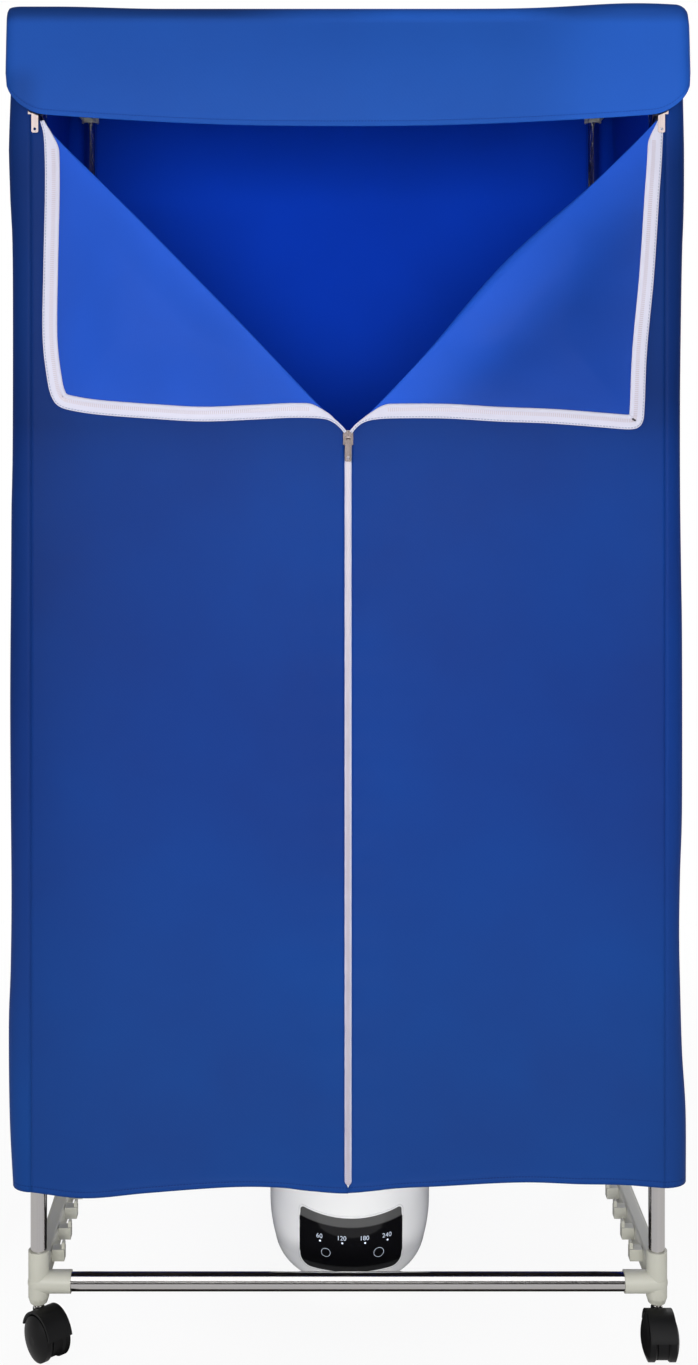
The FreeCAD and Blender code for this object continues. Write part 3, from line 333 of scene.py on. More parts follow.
# Casters: black moulded hoods and twin wheels on plated stems that push up into the side frames.
# Hoods and wheels are of much the same matt plastic; the wheels shine a little more.
CASTER_BLACK = (0.0042, 0.0042, 0.0045)
CASTER_MIRROR = 0.15
caster_plastic = plastic("caster_plastic", CASTER_BLACK, 1200.0, 0.2, 0.42, 0.35, CASTER_MIRROR)
wheel_plastic = plastic("wheel_plastic", CASTER_BLACK, 800.0, 0.25, 0.36, 0.3, CASTER_MIRROR)
dress(["caster_hood_" + corner for corner in CORNERS], caster_plastic)
dress(["caster_wheel_" + corner + "_" + half for corner in CORNERS for half in "ab"], wheel_plastic)
stem_steel = drawn_steel("stem_steel", "Y")
dress(["caster_stems"], stem_steel)

# Heater: a white glossy bowl with a domed top, standing on rubber pads in the middle of the frame.
# Both shells are moulded; the outlet grille clips into the top and the mains inlet into the back.
HEATER_WHITE = (0.93, 0.93, 0.91)
RUBBER_BLACK = (0.02, 0.02, 0.02)
SOCKET_BLACK = (0.015, 0.015, 0.016)
BOARD_GREEN = (0.02, 0.12, 0.05)
heater_plastic = plastic("heater_plastic", HEATER_WHITE, 1500.0, 0.02, 0.16, 0.06)
dress(["heater_base", "heater_crown", "outlet_grille"], heater_plastic)
dress(["heater_feet"], plastic("pad_rubber", RUBBER_BLACK, 900.0, 0.2, 0.6, 0.5))
dress(["power_inlet", "fan_impeller"], plastic("socket_plastic", SOCKET_BLACK, 1200.0, 0.15, 0.4, 0.3))
dress(["control_board"], plastic("board_resin", BOARD_GREEN, 400.0, 0.2, 0.35, 0.1))
dress(["fan_motor"], drawn_steel("can_steel", "Z"))
dress(["heating_element"], drawn_steel("fin_aluminium", "Y"))

# Control panel: a black glossy lens let into the front of the bowl, with a painted reflection, a grey band,
# along its top.
# Behind it shine the four time settings with their lamps, and two touch keys, each a ring.
LENS_BLACK = (0.004, 0.004, 0.005, 1)
LENS_REFLECTION_GREY = (0.10, 0.10, 0.098, 1)
LENS_GLOSS = 0.08
LENS_MIRROR = 0.35
REFLECTION_HEIGHT = 0.0115
REFLECTION_SOFT = 0.0008
FOOT_HIGH, FOOT_LOW, FOOT_SHARE = 0.009, 0.006, 0.22
PANEL_DIP = 0.006
panel_low, panel_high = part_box("control_panel")
heater_low, heater_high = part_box("heater_base")
HEATER_X = (heater_low[0] + heater_high[0]) / 2
HEATER_Y = (heater_low[1] + heater_high[1]) / 2
panel_half = (panel_high[0] - panel_low[0]) / 2
reflection_line = panel_high[2] - PANEL_DIP - REFLECTION_HEIGHT
# The grey band along the top of the lens is a painted reflection; the same grey, fainter, lies along its
# lower edge.
lens, tree, shader = new_material("control_lens")
parts = node(tree, "SeparateXYZ", None, {"Vector": node(tree, "TexCoord", "Object")})
aside = worked(tree, "SUBTRACT", parts["X"], HEATER_X)
bow = worked(tree, "MULTIPLY", aside, aside)
edge = worked(tree, "MULTIPLY_ADD", bow, -PANEL_DIP / panel_half ** 2, parts["Z"])
reflection_band = node(tree, "MapRange", "Result", {"Value": edge, "From Min": reflection_line - REFLECTION_SOFT,
                                         "From Max": reflection_line + REFLECTION_SOFT})
foot = node(tree, "MapRange", "Result", {"Value": parts["Z"], "From Min": panel_low[2] + FOOT_HIGH,
                                         "From Max": panel_low[2] + FOOT_LOW, "To Max": FOOT_SHARE})
tones = mixed(tree, worked(tree, "MAXIMUM", reflection_band, foot), LENS_BLACK, LENS_REFLECTION_GREY)
feed(tree, shader, {"Base Color": tones, "Roughness": LENS_GLOSS, "Specular IOR Level": LENS_MIRROR})
dress(["control_panel"], lens)

SIGN_LIFT = 0.0003
PANEL_PROUD = 0.0008
BELLY = ((0.090, 0.042), (0.0945, 0.064), (0.096, 0.086))
BOWL = ((0.052, 0.004), (0.076, 0.016), (0.090, 0.042))
SIGN_ROW = 0.0750
KEY_ROW = 0.0582
SIGNS = (("60", -0.0370), ("120", -0.0113), ("180", 0.0152), ("240", 0.0415))
SIGN_HEIGHT = 0.0075
SIGN_TONE = (0.45, 0.5, 0.58, 1)
SIGN_LIGHT = (0.55, 0.62, 0.75, 1)
SIGN_GLOW, LAMP_GLOW = 0.35, 1.2
LAMP_RADIUS = 0.0011
LAMP_ASIDE, LAMP_BELOW = 0.0008, 0.0034
KEYS = ((-0.0295, 0.0054), (0.0320, 0.0060))
KEY_LINE = 0.0005


def circle_through(a, b, c):
    """The centre and radius of the circle through three points of a plane."""
    lines = 2 * np.array([np.subtract(b, a), np.subtract(c, a)])
    right = np.array([np.dot(b, b) - np.dot(a, a), np.dot(c, c) - np.dot(a, a)])
    centre = np.linalg.solve(lines, right)
    return centre, math.dist(centre, a)


def arc_radius(arc, z):
    """How far an upright arc through three points stands from the bowl's axis at height z."""
    centre, radius = circle_through(*arc)
    return centre[0] + np.sqrt(radius ** 2 - (z - centre[1]) ** 2)


def on_panel(points, lift):
    """Sets places given by x and z on the lens: the bowl's radius there, less the depth that x takes.

    The bowl's side is one arc up to its belly and a flatter one above it, then upright.
    """
    x, z = points[..., 0], points[..., 1]
    upper = arc_radius(BELLY, np.clip(z, BELLY[0][1], BELLY[2][1]))
    lower = arc_radius(BOWL, np.minimum(z, BOWL[2][1]))
    radius = np.where(z < BOWL[2][1], lower, upper) + PANEL_PROUD + lift
    return together(HEATER_X + x, HEATER_Y - np.sqrt(radius ** 2 - x ** 2), z)


def plain_mesh(name, points, faces, material):
    """An object in world places from points and faces, smooth, with one material."""
    mesh = bpy.data.meshes.new(name)
    mesh.from_pydata(np.asarray(points).reshape(-1, 3).tolist(), [], faces)
    mesh.materials.append(material)
    mesh.polygons.foreach_set("use_smooth", np.ones(len(mesh.polygons), dtype=bool))
    made = bpy.data.objects.new(name, mesh)
    scene.collection.objects.link(made)
    return made


def grid_faces(rows, columns, closed=False):
    """Quads between neighbouring points of a grid; closed joins the last column to the first."""
    index = np.arange(rows * columns).reshape(rows, columns)
    if closed:
        index = np.concatenate([index, index[:, :1]], axis=1)
    quads = np.stack([index[:-1, :-1], index[:-1, 1:], index[1:, 1:], index[1:, :-1]], axis=-1)
    return quads.reshape(-1, 4).tolist()


PANEL_CORNER = 0.014
PANEL_TOP_CORNER = 0.005
BEAD = 0.0011
BEAD_SIDES = 10


def quarter(x, z, radius, first):
    """Points on a quarter of a circle, from its first angle in degrees on."""
    angle = np.radians(np.linspace(first, first + 90, 9))
    return together(x + radius * np.cos(angle), z + radius * np.sin(angle))


def lens_outline():
    """The lens's edge: two round lower corners, two small upper ones and a top that dips in the middle."""
    low, high = panel_low[2], panel_high[2]
    inner = panel_half - PANEL_CORNER
    upper = panel_half - PANEL_TOP_CORNER
    top_x = np.linspace(upper, -upper, 31)[1:-1]
    top = together(top_x, high - PANEL_DIP * (1 - (top_x / upper) ** 2))
    floor_x = np.linspace(-inner, inner, 21)[1:-1]
    return np.concatenate([
        quarter(inner, low + PANEL_CORNER, PANEL_CORNER, -90),
        quarter(upper, high - PANEL_TOP_CORNER, PANEL_TOP_CORNER, 0), top,
        quarter(-upper, high - PANEL_TOP_CORNER, PANEL_TOP_CORNER, 90),
        quarter(-inner, low + PANEL_CORNER, PANEL_CORNER, 180),
        together(floor_x, low)])


def bead_tube(outline, radius):
    """A round bead along a closed outline on the bowl: at each point a circle across the outline's run."""
    run = np.roll(outline, -1, axis=0) - np.roll(outline, 1, axis=0)
    run = run / np.linalg.norm(run, axis=1)[:, None]
    aside = together(run[:, 1], -run[:, 0])
    wide, proud = circle(radius, BEAD_SIDES)
    flat = outline[:, None] + aside[:, None] * wide[:, None]
    return on_panel(flat, proud - PANEL_PROUD / 2)


outline = lens_outline()
bezel_faces = np.array(grid_faces(len(outline) + 1, BEAD_SIDES, True)) % (len(outline) * BEAD_SIDES)
bezel = plain_mesh("lens_bezel", bead_tube(outline, BEAD), bezel_faces.tolist(), heater_plastic)
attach(bezel, "frame")

sign_glow, tree, shader = new_material("sign_glow")
feed(tree, shader, {"Base Color": SIGN_TONE, "Emission Color": SIGN_LIGHT, "Emission Strength": SIGN_GLOW})
lamp_glow = sign_glow.copy()
lamp_glow.name = "lamp_glow"
lamp_glow.node_tree.nodes["Principled BSDF"].inputs["Emission Strength"].default_value = LAMP_GLOW


def mark(name, flat, faces, material):
    """A mark on the lens, just proud of it, from places given by x and z."""
    made = plain_mesh(name, on_panel(flat, SIGN_LIFT), faces, material)
    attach(made, "frame")


def ring_mark(name, x, z, inner, outer, count, material):
    """A mark between two circles round one place."""
    aside, up = circle(np.array([[inner], [outer]]), count)
    mark(name, together(x + aside, z + up), grid_faces(2, count, True), material)


for number, (word, column) in enumerate(SIGNS):
    curve = bpy.data.curves.new("sign", "FONT")
    curve.body = word
    curve.size = SIGN_HEIGHT
    curve.align_x = "CENTER"
    letters = bpy.data.objects.new("sign", curve)
    flat = bpy.data.meshes.new_from_object(letters)
    places = np.empty(len(flat.vertices) * 3)
    flat.vertices.foreach_get("co", places)
    places = places.reshape(-1, 3)[:, :2] + (column, SIGN_ROW)
    faces = [list(face.vertices) for face in flat.polygons]
    mark("time_sign_" + str(number + 1), places, faces, sign_glow)
    bpy.data.objects.remove(letters)
    ring_mark("time_lamp_" + str(number + 1), column + LAMP_ASIDE, SIGN_ROW - LAMP_BELOW, 0.0, LAMP_RADIUS,
              16, lamp_glow)

for number, (column, radius) in enumerate(KEYS):
    ring_mark("touch_key_" + str(number + 1), column, KEY_ROW, radius - KEY_LINE, radius, 40, sign_glow)

# Cover walls: coated blue cloth, sewn to a bag that hangs from the top of the frame and is open below.
# The sides wrap round the corners, the back hangs in soft folds, and a narrow hem is stitched below.
COVER_BLUE = (0.0044, 0.0440, 0.238)
COVER_DEEP = (0.0056, 0.0360, 0.202)
LINING_BLUE = (0.0015, 0.044, 0.510)
LINING_DEEP = (0.0015, 0.038, 0.440)
CLOTH = 0.0006
CLOTH_RELIEF = 0.0006
CLOTH_MIRROR = 0.06
LINING_MIRROR = 0.02
THREADS = 1400.0
PATCHES = 3.2
CREASES = 90.0
HEM_LINE = 0.0065
STITCH = 0.0034
STITCH_HALF = 0.0005
STITCH_TONE = (0.55, 0.6, 0.7, 1)
GROOVE = 0.0022
WEAVE_HEIGHT, CREASE_HEIGHT, THREAD_HEIGHT, GROOVE_DEPTH = 0.06, 0.10, 0.8, 1.2


def weave_group():
    """Woven cloth on the piece's own flat sizes: crossing waves for the threads, slow noise for the tone.

    A dashed thread in a groove runs along the hem line, and the mesh's own painted light and shade multiplies
    the colour.
    """
    group, given, result = new_group("woven_cloth", ("Light", "Deep", "Threads", "Hem", "Roughness"),
                                     ("Colour", "Roughness", "Height"))

    def step(*terms):
        """One arithmetic step in this group."""
        return worked(group, *terms)

    flat = node(group, "TexCoord", "UV")
    parts = node(group, "SeparateXYZ", None, {"Vector": flat})
    across = step("SINE", step("MULTIPLY", parts["X"], given["Threads"]))
    along = step("SINE", step("MULTIPLY", parts["Y"], given["Threads"]))
    slow = node(group, "TexNoise", "Fac", {"Vector": flat, "Scale": PATCHES, "Detail": 3.0})
    fine = node(group, "TexNoise", "Fac", {"Vector": flat, "Scale": CREASES, "Detail": 4.0})
    spread = node(group, "MapRange", "Result", {"Value": slow, "From Min": 0.35, "From Max": 0.65})
    tone = mixed(group, spread, given["Deep"], given["Light"])
    from_hem = step("ABSOLUTE", step("SUBTRACT", parts["Y"], given["Hem"]))
    stitches = step("SINE", step("MULTIPLY", parts["X"], 2 * math.pi / STITCH))
    thread = step("MULTIPLY", step("LESS_THAN", from_hem, STITCH_HALF), step("GREATER_THAN", stitches, -0.5))
    into_groove = step("SUBTRACT", 1.0, step("MINIMUM", step("DIVIDE", from_hem, GROOVE), 1.0))
    sewn = mixed(group, thread, tone, STITCH_TONE, "MULTIPLY")
    # Painted light and shade, stored on each point of the mesh
    painted_light = node(group, "Attribute", "Color", attribute_name="painted_light")
    height = step("MULTIPLY", step("MULTIPLY", across, along), WEAVE_HEIGHT)
    height = step("MULTIPLY_ADD", fine, CREASE_HEIGHT, height)
    height = step("MULTIPLY_ADD", thread, THREAD_HEIGHT, height)
    height = step("MULTIPLY_ADD", into_groove, -GROOVE_DEPTH, height)
    rough = step("MULTIPLY_ADD", fine, 0.10, given["Roughness"])
    painted_tone = mixed(group, 1.0, sewn, painted_light, "MULTIPLY")
    feed(group, result, {"Colour": painted_tone, "Roughness": rough, "Height": height})
    return group


woven_cloth = weave_group()


def cloth(name, light, deep, threads, hem, roughness, bump, mirror=CLOTH_MIRROR):
    """A woven cloth with its own tones, threads and the height of its stitched line above the lower edge."""
    inputs = {"Light": (*light, 1), "Deep": (*deep, 1), "Threads": threads, "Hem": hem,
              "Roughness": roughness}
    return grouped(name, woven_cloth, inputs, bump, CLOTH_RELIEF, mirror)


cover_cloth = cloth("cover_cloth", COVER_BLUE, COVER_DEEP, THREADS, HEM_LINE, 0.50, 0.35)
inner_cloth = cloth("inner_cloth", LINING_BLUE, LINING_DEEP, THREADS, HEM_LINE, 0.55, 0.30, LINING_MIRROR)


def lengths_along(points, axis):
    """How far each point lies along its own row or column, adding up the steps between neighbours."""
    steps = np.linalg.norm(np.diff(points, axis=axis), axis=2)
    start = np.zeros_like(np.take(steps, [0], axis=axis))
    return np.concatenate([start, np.cumsum(steps, axis=axis)], axis=axis)


def sheet_of(name, points, outside, inside, body, replaced, bend=None, painted_light=None):
    """A cloth sheet through a grid of points, rows from the lower edge up, with another cloth on its inside.

    Its flat sizes are the longest row and column, and its flat area is that of all its quads.
    With bend, the sheet's place is baked into its mesh and it is attached to no body; body and bend's two
    points are then not used.
    Given painted light and shade, each point's colour is multiplied by that point's own red, green and blue.
    """
    rows, columns = points.shape[:2]
    made = plain_mesh(name, points, grid_faces(rows, columns), outside)
    mesh = made.data
    mesh.materials.append(inside)
    flat = together(lengths_along(points, 1), lengths_along(points, 0)).reshape(-1, 2)
    corner = np.empty(len(mesh.loops), dtype=np.int32)
    mesh.loops.foreach_get("vertex_index", corner)
    layer = mesh.uv_layers.new(name="flat_cut")
    layer.data.foreach_set("uv", flat[corner].ravel())
    # Painted light and shade: a multiplier on each point's colour
    shares = np.ones((rows, columns, 4))
    if painted_light is not None:
        shares[..., :3] = painted_light
    painted_layer = mesh.attributes.new(name="painted_light", type="FLOAT_COLOR", domain="POINT")
    painted_layer.data.foreach_set("color", shares.ravel())
    thick = made.modifiers.new("thickness", "SOLIDIFY")
    thick.thickness = CLOTH
    thick.offset = -1.0
    thick.material_offset = 1
    thick.material_offset_rim = 0
    if bend:
        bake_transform(made)
    else:
        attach(made, body)
    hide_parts(*replaced)


def panel_of(name, points, painted_light=None):
    """A panel of the cover, which stands for the CAD panel of that name."""
    sheet_of(name + "_cloth", points, cover_cloth, inner_cloth, "frame",
             [name], painted_light=painted_light)


SKIN_IN = 0.001
top_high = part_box("cover_top")[1]
WALL_X = top_high[0] - SKIN_IN
WALL_Y = top_high[1] - SKIN_IN
TOP_Z = top_high[2] - SKIN_IN
PANEL_X = -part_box("cover_front_left")[0][0]
HEM_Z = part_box("cover_back")[0][2]
TOP_ROUND = 0.010
CORNER = 0.022
WALL_ROWS = 90
SIDE_BELLY = 0.005
SIDE_RIPPLE = 0.0022
SIDE_CREASE = 0.0010
SIDE_HEM_RISE = 0.008
SIDE_HEM_BACK = 0.1840


def rounded_over(z):
    """How far a wall is drawn in near the top, where the cloth rolls over the edge along a quarter circle."""
    into = np.clip(z - (TOP_Z - TOP_ROUND), 0, TOP_ROUND)
    return TOP_ROUND - np.sqrt(TOP_ROUND ** 2 - into ** 2)


def rows_up(low, high, count):
    """Heights from low to high for each column, closer together at the hem and at the rolled top."""
    share = np.linspace(0, 1, count)[:, None]
    share = share - 0.10 * np.sin(2 * math.pi * share)
    return low + (high - low) * share


def side_plan(steps_corner, steps_side):
    """The plan of a side wall, a straight run between two quarter circles, and its outward directions."""
    turn = np.linspace(0, math.pi / 2, steps_corner)
    run = np.linspace(-WALL_Y + CORNER, WALL_Y - CORNER, steps_side)[1:-1]
    flat_x = np.full_like(run, WALL_X)
    front_y = -WALL_Y + CORNER - CORNER * np.cos(turn)
    back_y = WALL_Y - CORNER + CORNER * np.sin(turn)
    x = np.concatenate([PANEL_X + CORNER * np.sin(turn), flat_x, PANEL_X + CORNER * np.cos(turn)])
    y = np.concatenate([front_y, run, back_y])
    out_x = np.concatenate([np.sin(turn), np.ones_like(run), np.cos(turn)])
    out_y = np.concatenate([-np.cos(turn), np.zeros_like(run), np.sin(turn)])
    return x, y, out_x, out_y


def through(points, count):
    """A smooth line through points: a cubic between each two, whose slopes follow the points on either side.

    It returns even places along the line, and how far along it each of them lies.
    """
    p = np.array(points)
    p = np.concatenate([2 * p[:1] - p[1:2], p, 2 * p[-1:] - p[-2:-1]])
    at = np.linspace(0, len(points) - 1, 40 * len(points))
    i = np.minimum(at.astype(int), len(points) - 2)
    t = (at - i)[:, None]
    a, b, c, d = p[i], p[i + 1], p[i + 2], p[i + 3]
    line = b + 0.5 * t * (c - a + t * (2 * a - 5 * b + 4 * c - d + t * (3 * (b - c) + d - a)))
    walked = np.concatenate([[0], np.cumsum(np.linalg.norm(np.diff(line, axis=0), axis=1))])
    even = np.linspace(0, walked[-1], count)
    return together(*[np.interp(even, walked, row) for row in line.T]), even


# How far each side wall stands out at a height, as the hanging cloth drifts in and out on its way down.
LEFT_DRIFT = ((0.18, 0.0010), (0.26, 0.0050), (0.36, 0.0060), (0.42, 0.0040), (0.50, 0.0030), (0.60, 0.0038),
              (0.72, 0.0045), (0.85, 0.0035), (0.93, 0.0030), (1.00, 0.0017), (1.20, 0.0017), (1.27, 0.0045),
              (1.35, 0.0065), (1.48, 0.0065))
RIGHT_DRIFT = ((0.18, 0.0050), (0.265, 0.0048), (0.33, 0.0008), (0.40, -0.0013), (0.46, -0.0024),
               (0.53, -0.0013), (0.60, 0.0008), (0.78, 0.0008), (0.86, -0.0003), (0.95, -0.0014),
               (1.05, -0.0014), (1.14, -0.0003), (1.21, 0.0010), (1.28, 0.0030), (1.48, 0.0030))


def side_wall(side, drift, hem_front, hem_back):
    """A side wall: the plan carried up from the hem, bellied out and rippled below, rolled over at the top.

    It also drifts in and out with the height, along a smooth line through given points.
    """
    x, y, out_x, out_y = side_plan(9, 61)
    across = np.clip(y / (WALL_Y - CORNER), -1, 1)
    hem = hem_front + (hem_back - hem_front) * (across + 1) / 2 + SIDE_HEM_RISE * (1 - across ** 2)
    z = rows_up(hem, TOP_Z, WALL_ROWS)
    low = (TOP_Z - z) / (TOP_Z - HEM_Z)
    free = 1 - across ** 4
    line = through(drift, 300)[0]
    drifted = np.interp(z, line[:, 0], line[:, 1]) * out_x ** 2
    belly = SIDE_BELLY * (1 - across ** 2) * low + drifted
    belly = belly * np.clip((TOP_Z - z) / 0.15, 0, 1)
    ripple = SIDE_RIPPLE * np.sin(15 * y + 1.3 * np.sin(3 * z) + side) * (0.35 + 0.65 * low)
    ripple = ripple + SIDE_CREASE * np.sin(37 * y - 4 * z) * low
    out = (belly + ripple * free) - rounded_over(z)
    px = side * (x + out_x * out)
    py = y + out_y * out
    points = together(px, py, z)
    return points[:, ::side]


def ramp(value, start, length):
    """0 up to start, 1 from start plus length on, and a smooth cubic between."""
    share = np.clip((value - start) / length, 0, 1)
    return share * share * (3 - 2 * share)


# Painted shade on the front: how deep it lies at each side, beside the flaps and under their edge; and the
# lighter, greener tone towards the hem.
FRONT_TONE = 1.04
LEFT_DEEP, LEFT_DEEPER, LEFT_REACH = 0.20, 0.27, 0.085
RIGHT_DEEP, RIGHT_REACH = 0.18, 0.040
BESIDE_LEFT, BESIDE_RIGHT = 0.14, 0.34
UNDER_DEEP, UNDER_REACH = 0.20, 0.03
FLAP_EDGE_Z = 1.02
GREEN_LOW, GREEN_DROP = 1.17, 0.25
RED_LOW, RED_DROP = 1.55, 0.60


def front_painted_shade(points):
    """Painted shade, deeper towards both sides, more so beside the flaps, and along their lower edge; lighter
    and greener towards the hem.

    Each side's share falls off with the distance from the corner, and all of it along the side wall.
    """
    x, y, z = points[..., 0], points[..., 1], points[..., 2]
    left = (LEFT_DEEP + LEFT_DEEPER * ramp(z, 0.25, 0.60)) * np.exp(-(x + WALL_X) / LEFT_REACH)
    right = RIGHT_DEEP * np.exp(-(WALL_X - x) / RIGHT_REACH)
    beside = ramp(z, 1.00, 0.06) * (1 - ramp(z, 1.29, 0.08))
    beside = beside * np.where(x > 0, BESIDE_RIGHT, BESIDE_LEFT) * ramp(np.abs(x), 0.29, 0.03)
    under = UNDER_DEEP * np.exp(-np.abs(FLAP_EDGE_Z - z) / UNDER_REACH)
    blue = FRONT_TONE * (1 - left) * (1 - right) * (1 - beside) * (1 - under)
    green = blue * (GREEN_LOW - GREEN_DROP * ramp(z, 0.22, 0.50))
    red = blue * (RED_LOW - RED_DROP * ramp(z, 0.22, 0.60))
    front = 1 - ramp(y, -WALL_Y, 0.07)
    return 1 + (together(red, green, blue) - 1) * front[..., None]


# The side walls carry the front's painted shade near their front corners.
for side, name, drift, hem_front in ((-1, "left", LEFT_DRIFT, 0.1835), (1, "right", RIGHT_DRIFT, 0.1880)):
    wall = side_wall(side, drift, hem_front, SIDE_HEM_BACK)
    panel_of("cover_side_" + name, wall, painted_light=front_painted_shade(wall))

BACK_COLUMNS = 121
BACK_BELLY = 0.010
BACK_CREASE = 0.0016


def back_wall():
    """The back: level across at the top, hanging in soft upright folds that deepen towards the hem."""
    x = np.linspace(PANEL_X, -PANEL_X, BACK_COLUMNS)
    hem = HEM_Z + 0.002 + 0.003 * np.sin(9 * x)
    z = rows_up(hem, TOP_Z, WALL_ROWS)
    low = (TOP_Z - z) / (TOP_Z - HEM_Z)
    held = 1 - (x / PANEL_X) ** 6
    folds = 0.5 - 0.5 * np.cos(6 * math.pi * (x + PANEL_X) / (2 * PANEL_X) + 0.5 * np.sin(2.2 * z))
    small = BACK_CREASE * np.sin(31 * x + 2.4 * np.sin(2.5 * z))
    out = held * (BACK_BELLY * folds * (0.12 + 0.88 * low) + small * (0.3 + 0.7 * low)) - rounded_over(z)
    return together(x, WALL_Y + out, z)


panel_of("cover_back", back_wall())

# Cover top: one panel of the same cloth that lies on the frame and rolls over its edge into the walls.
# It sags a little between the tubes and is puckered by the seam round its edge.
TOP_SAG = 0.006
TOP_PUCKER = 0.0004
TOP_STEPS = 161
TAUT_FROM = 0.92
SEAM_FROM = 0.86


def top_panel():
    """A panel with round corners, in rows from front to back: it sags in the middle and puckers at its seam.

    In each corner a square of the grid is pressed into a quarter disc that follows the corner of the walls.
    """
    half_x = WALL_X - TOP_ROUND
    half_y = WALL_Y - TOP_ROUND
    corner = CORNER - TOP_ROUND
    share = np.linspace(-1, 1, TOP_STEPS)
    share = (share + np.sin(share * math.pi / 2)) / 2
    x, y = np.meshgrid(half_x * share, half_y * share)
    past_x = np.clip(np.abs(x) - (half_x - corner), 0, corner) / corner
    past_y = np.clip(np.abs(y) - (half_y - corner), 0, corner) / corner
    x = np.sign(x) * (np.minimum(np.abs(x), half_x - corner) + corner * past_x * np.sqrt(1 - past_y ** 2 / 2))
    y = np.sign(y) * (np.minimum(np.abs(y), half_y - corner) + corner * past_y * np.sqrt(1 - past_x ** 2 / 2))
    outward = np.maximum(np.abs(x) / half_x, np.abs(y) / half_y)
    seam = np.clip((outward - SEAM_FROM) / (1 - SEAM_FROM), 0, 1)
    pucker = TOP_PUCKER * (1 + np.sin(70 * x + 50 * y)) * seam * (1 - seam) * 4
    z = TOP_Z - TOP_SAG * ramp(-outward, -TAUT_FROM, 0.60) + pucker
    return together(x, y, z)


panel_of("cover_top", top_panel())

# Cover front: two panels below the zips and a narrow header behind the valance, all of the same blue cloth.
# Each panel is cut slantwise where its flap folds over, puckers along the zip and has the stitched hem.
APEX_X = 0.0048
APEX_Z = 1.0130
FOLD_SLOPE = 0.3230 / 0.3172
ZIP_GAP = 0.0038
ZIP_END = 0.1910
HEADER_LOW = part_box("cover_header")[0][2]
FRONT_COLUMNS = 101
FRONT_ROWS = 150
FRONT_WAVE = 0.0024
FRONT_CREASE = 0.0012
ZIP_PUCKER = 0.0006
HEM_ROLL = 0.0012
HEADER_WAVE = 0.0005
HEM_WAVE = ((-PANEL_X, 0.1835), (-0.287, 0.1782), (-0.220, 0.1836), (-0.131, 0.1880), (-0.078, 0.1874),
            (-0.045, 0.1840), (0.0, 0.1826), (0.052, 0.1890), (0.104, 0.1905), (0.190, 0.1931),
            (0.250, 0.1916), (0.300, 0.1914), (PANEL_X, 0.1880))


def front_hem(x):
    """The lower edge of the front: long shallow waves, deepest near the left corner and under the zip."""
    line = through(HEM_WAVE, 400)[0]
    return np.interp(x, line[:, 0], line[:, 1])


def front_panel(side):
    """Half of the front, from the hem up to the fold: slow waves, and small puckers beside the zip."""
    share = np.linspace(0, 1, FRONT_COLUMNS)
    x = side * (ZIP_GAP + (PANEL_X - ZIP_GAP) * share)
    hem = front_hem(x)
    high = APEX_Z + FOLD_SLOPE * np.maximum(np.abs(x) - APEX_X, 0)
    z = rows_up(hem, high, FRONT_ROWS)
    inner = 1 - share ** 6
    zip_side = np.exp(-np.abs(x) / 0.035)
    slow = FRONT_WAVE * np.sin(13 * x + 1.6 * np.sin(2.6 * z + side))
    slow = slow + FRONT_CREASE * np.sin(5 * z + 21 * x)
    pucker = ZIP_PUCKER * (1 + np.sin(150 * z + 3 * np.sin(11 * z))) * zip_side
    below = np.clip((0.99 - z) / 0.08, 0, 1) * np.clip(share / 0.10, 0, 1)
    rolled = HEM_ROLL * np.exp(-(((z - hem) - 0.004) / 0.004) ** 2)
    y = -WALL_Y - inner * (slow * below + pucker * np.clip((high - z) / 0.03, 0, 1)) - rolled * inner
    meet = side * ZIP_GAP * (1 - np.clip((z - ZIP_END + 0.001) / 0.004, 0, 1)) * (1 - share)
    points = together(x - meet, y, z)
    return points[:, ::side]


# Each front panel carries painted shade in its colour.
for side, name in SIDES:
    panel = front_panel(side)
    panel_of("cover_front_" + name, panel, painted_light=front_painted_shade(panel))


def header_strip():
    """The strip above the header zip, level across, rolled over at the top."""
    x = np.linspace(-PANEL_X, PANEL_X, 81)
    z = np.linspace(HEADER_LOW, TOP_Z, 24)[:, None]
    y = -WALL_Y + rounded_over(z) - HEADER_WAVE * np.sin(40 * x) * np.clip((TOP_Z - z) / 0.05, 0, 1)
    return together(x, y, z)


panel_of("cover_header", header_strip())

# Valance: a loose flap sewn along the top edge of the front, which hangs over the header zip.
# It bows out a little, has large round lower corners and a narrow stitched hem along its free edge.
VALANCE_BLUE = (0.0100, 0.074, 0.362)
VALANCE_DEEP = (0.0100, 0.065, 0.326)
VALANCE_COLUMNS = 181
VALANCE_HALF = 0.3725
VALANCE_LOW = 1.3410
VALANCE_END = 1.3560
VALANCE_CORNER = 0.045
VALANCE_HEM = 0.0055
VALANCE_OUT = 0.0165
VALANCE_BOW = 0.0042
VALANCE_WAVE = 0.0014
VALANCE_CREASE = 0.0007
VALANCE_PROUD = 0.0042
PUFF_LEFT, PUFF_RIGHT = 0.0025, 0.0062
DROP_LEFT, DROP_RIGHT = 0.001, 0.010
SHOULDER_OUT = 0.0095
ROLL_HEIGHT = 0.018
ROLL_DEPTH = 0.020
ROLL_TURN = 125
END_ROUND = 0.016
END_DEPTH = 0.014
VALANCE_BEND = ((0, -0.2370, 1.4660), (0, -0.2500, 1.4400))
valance_cloth = cloth("valance_cloth", VALANCE_BLUE, VALANCE_DEEP, THREADS, VALANCE_HEM, 0.50, 0.35)


def valance_edge(x):
    """The free edge's height: a shallow sag across, rising along a quarter circle at each round corner."""
    flat = VALANCE_END - (VALANCE_END - VALANCE_LOW) * np.clip(1 - (x / (VALANCE_HALF - 0.02)) ** 2, 0, 1)
    into = np.clip(np.abs(x) - (VALANCE_HALF - VALANCE_CORNER), 0, VALANCE_CORNER)
    return flat + VALANCE_CORNER - np.sqrt(VALANCE_CORNER ** 2 - into ** 2)


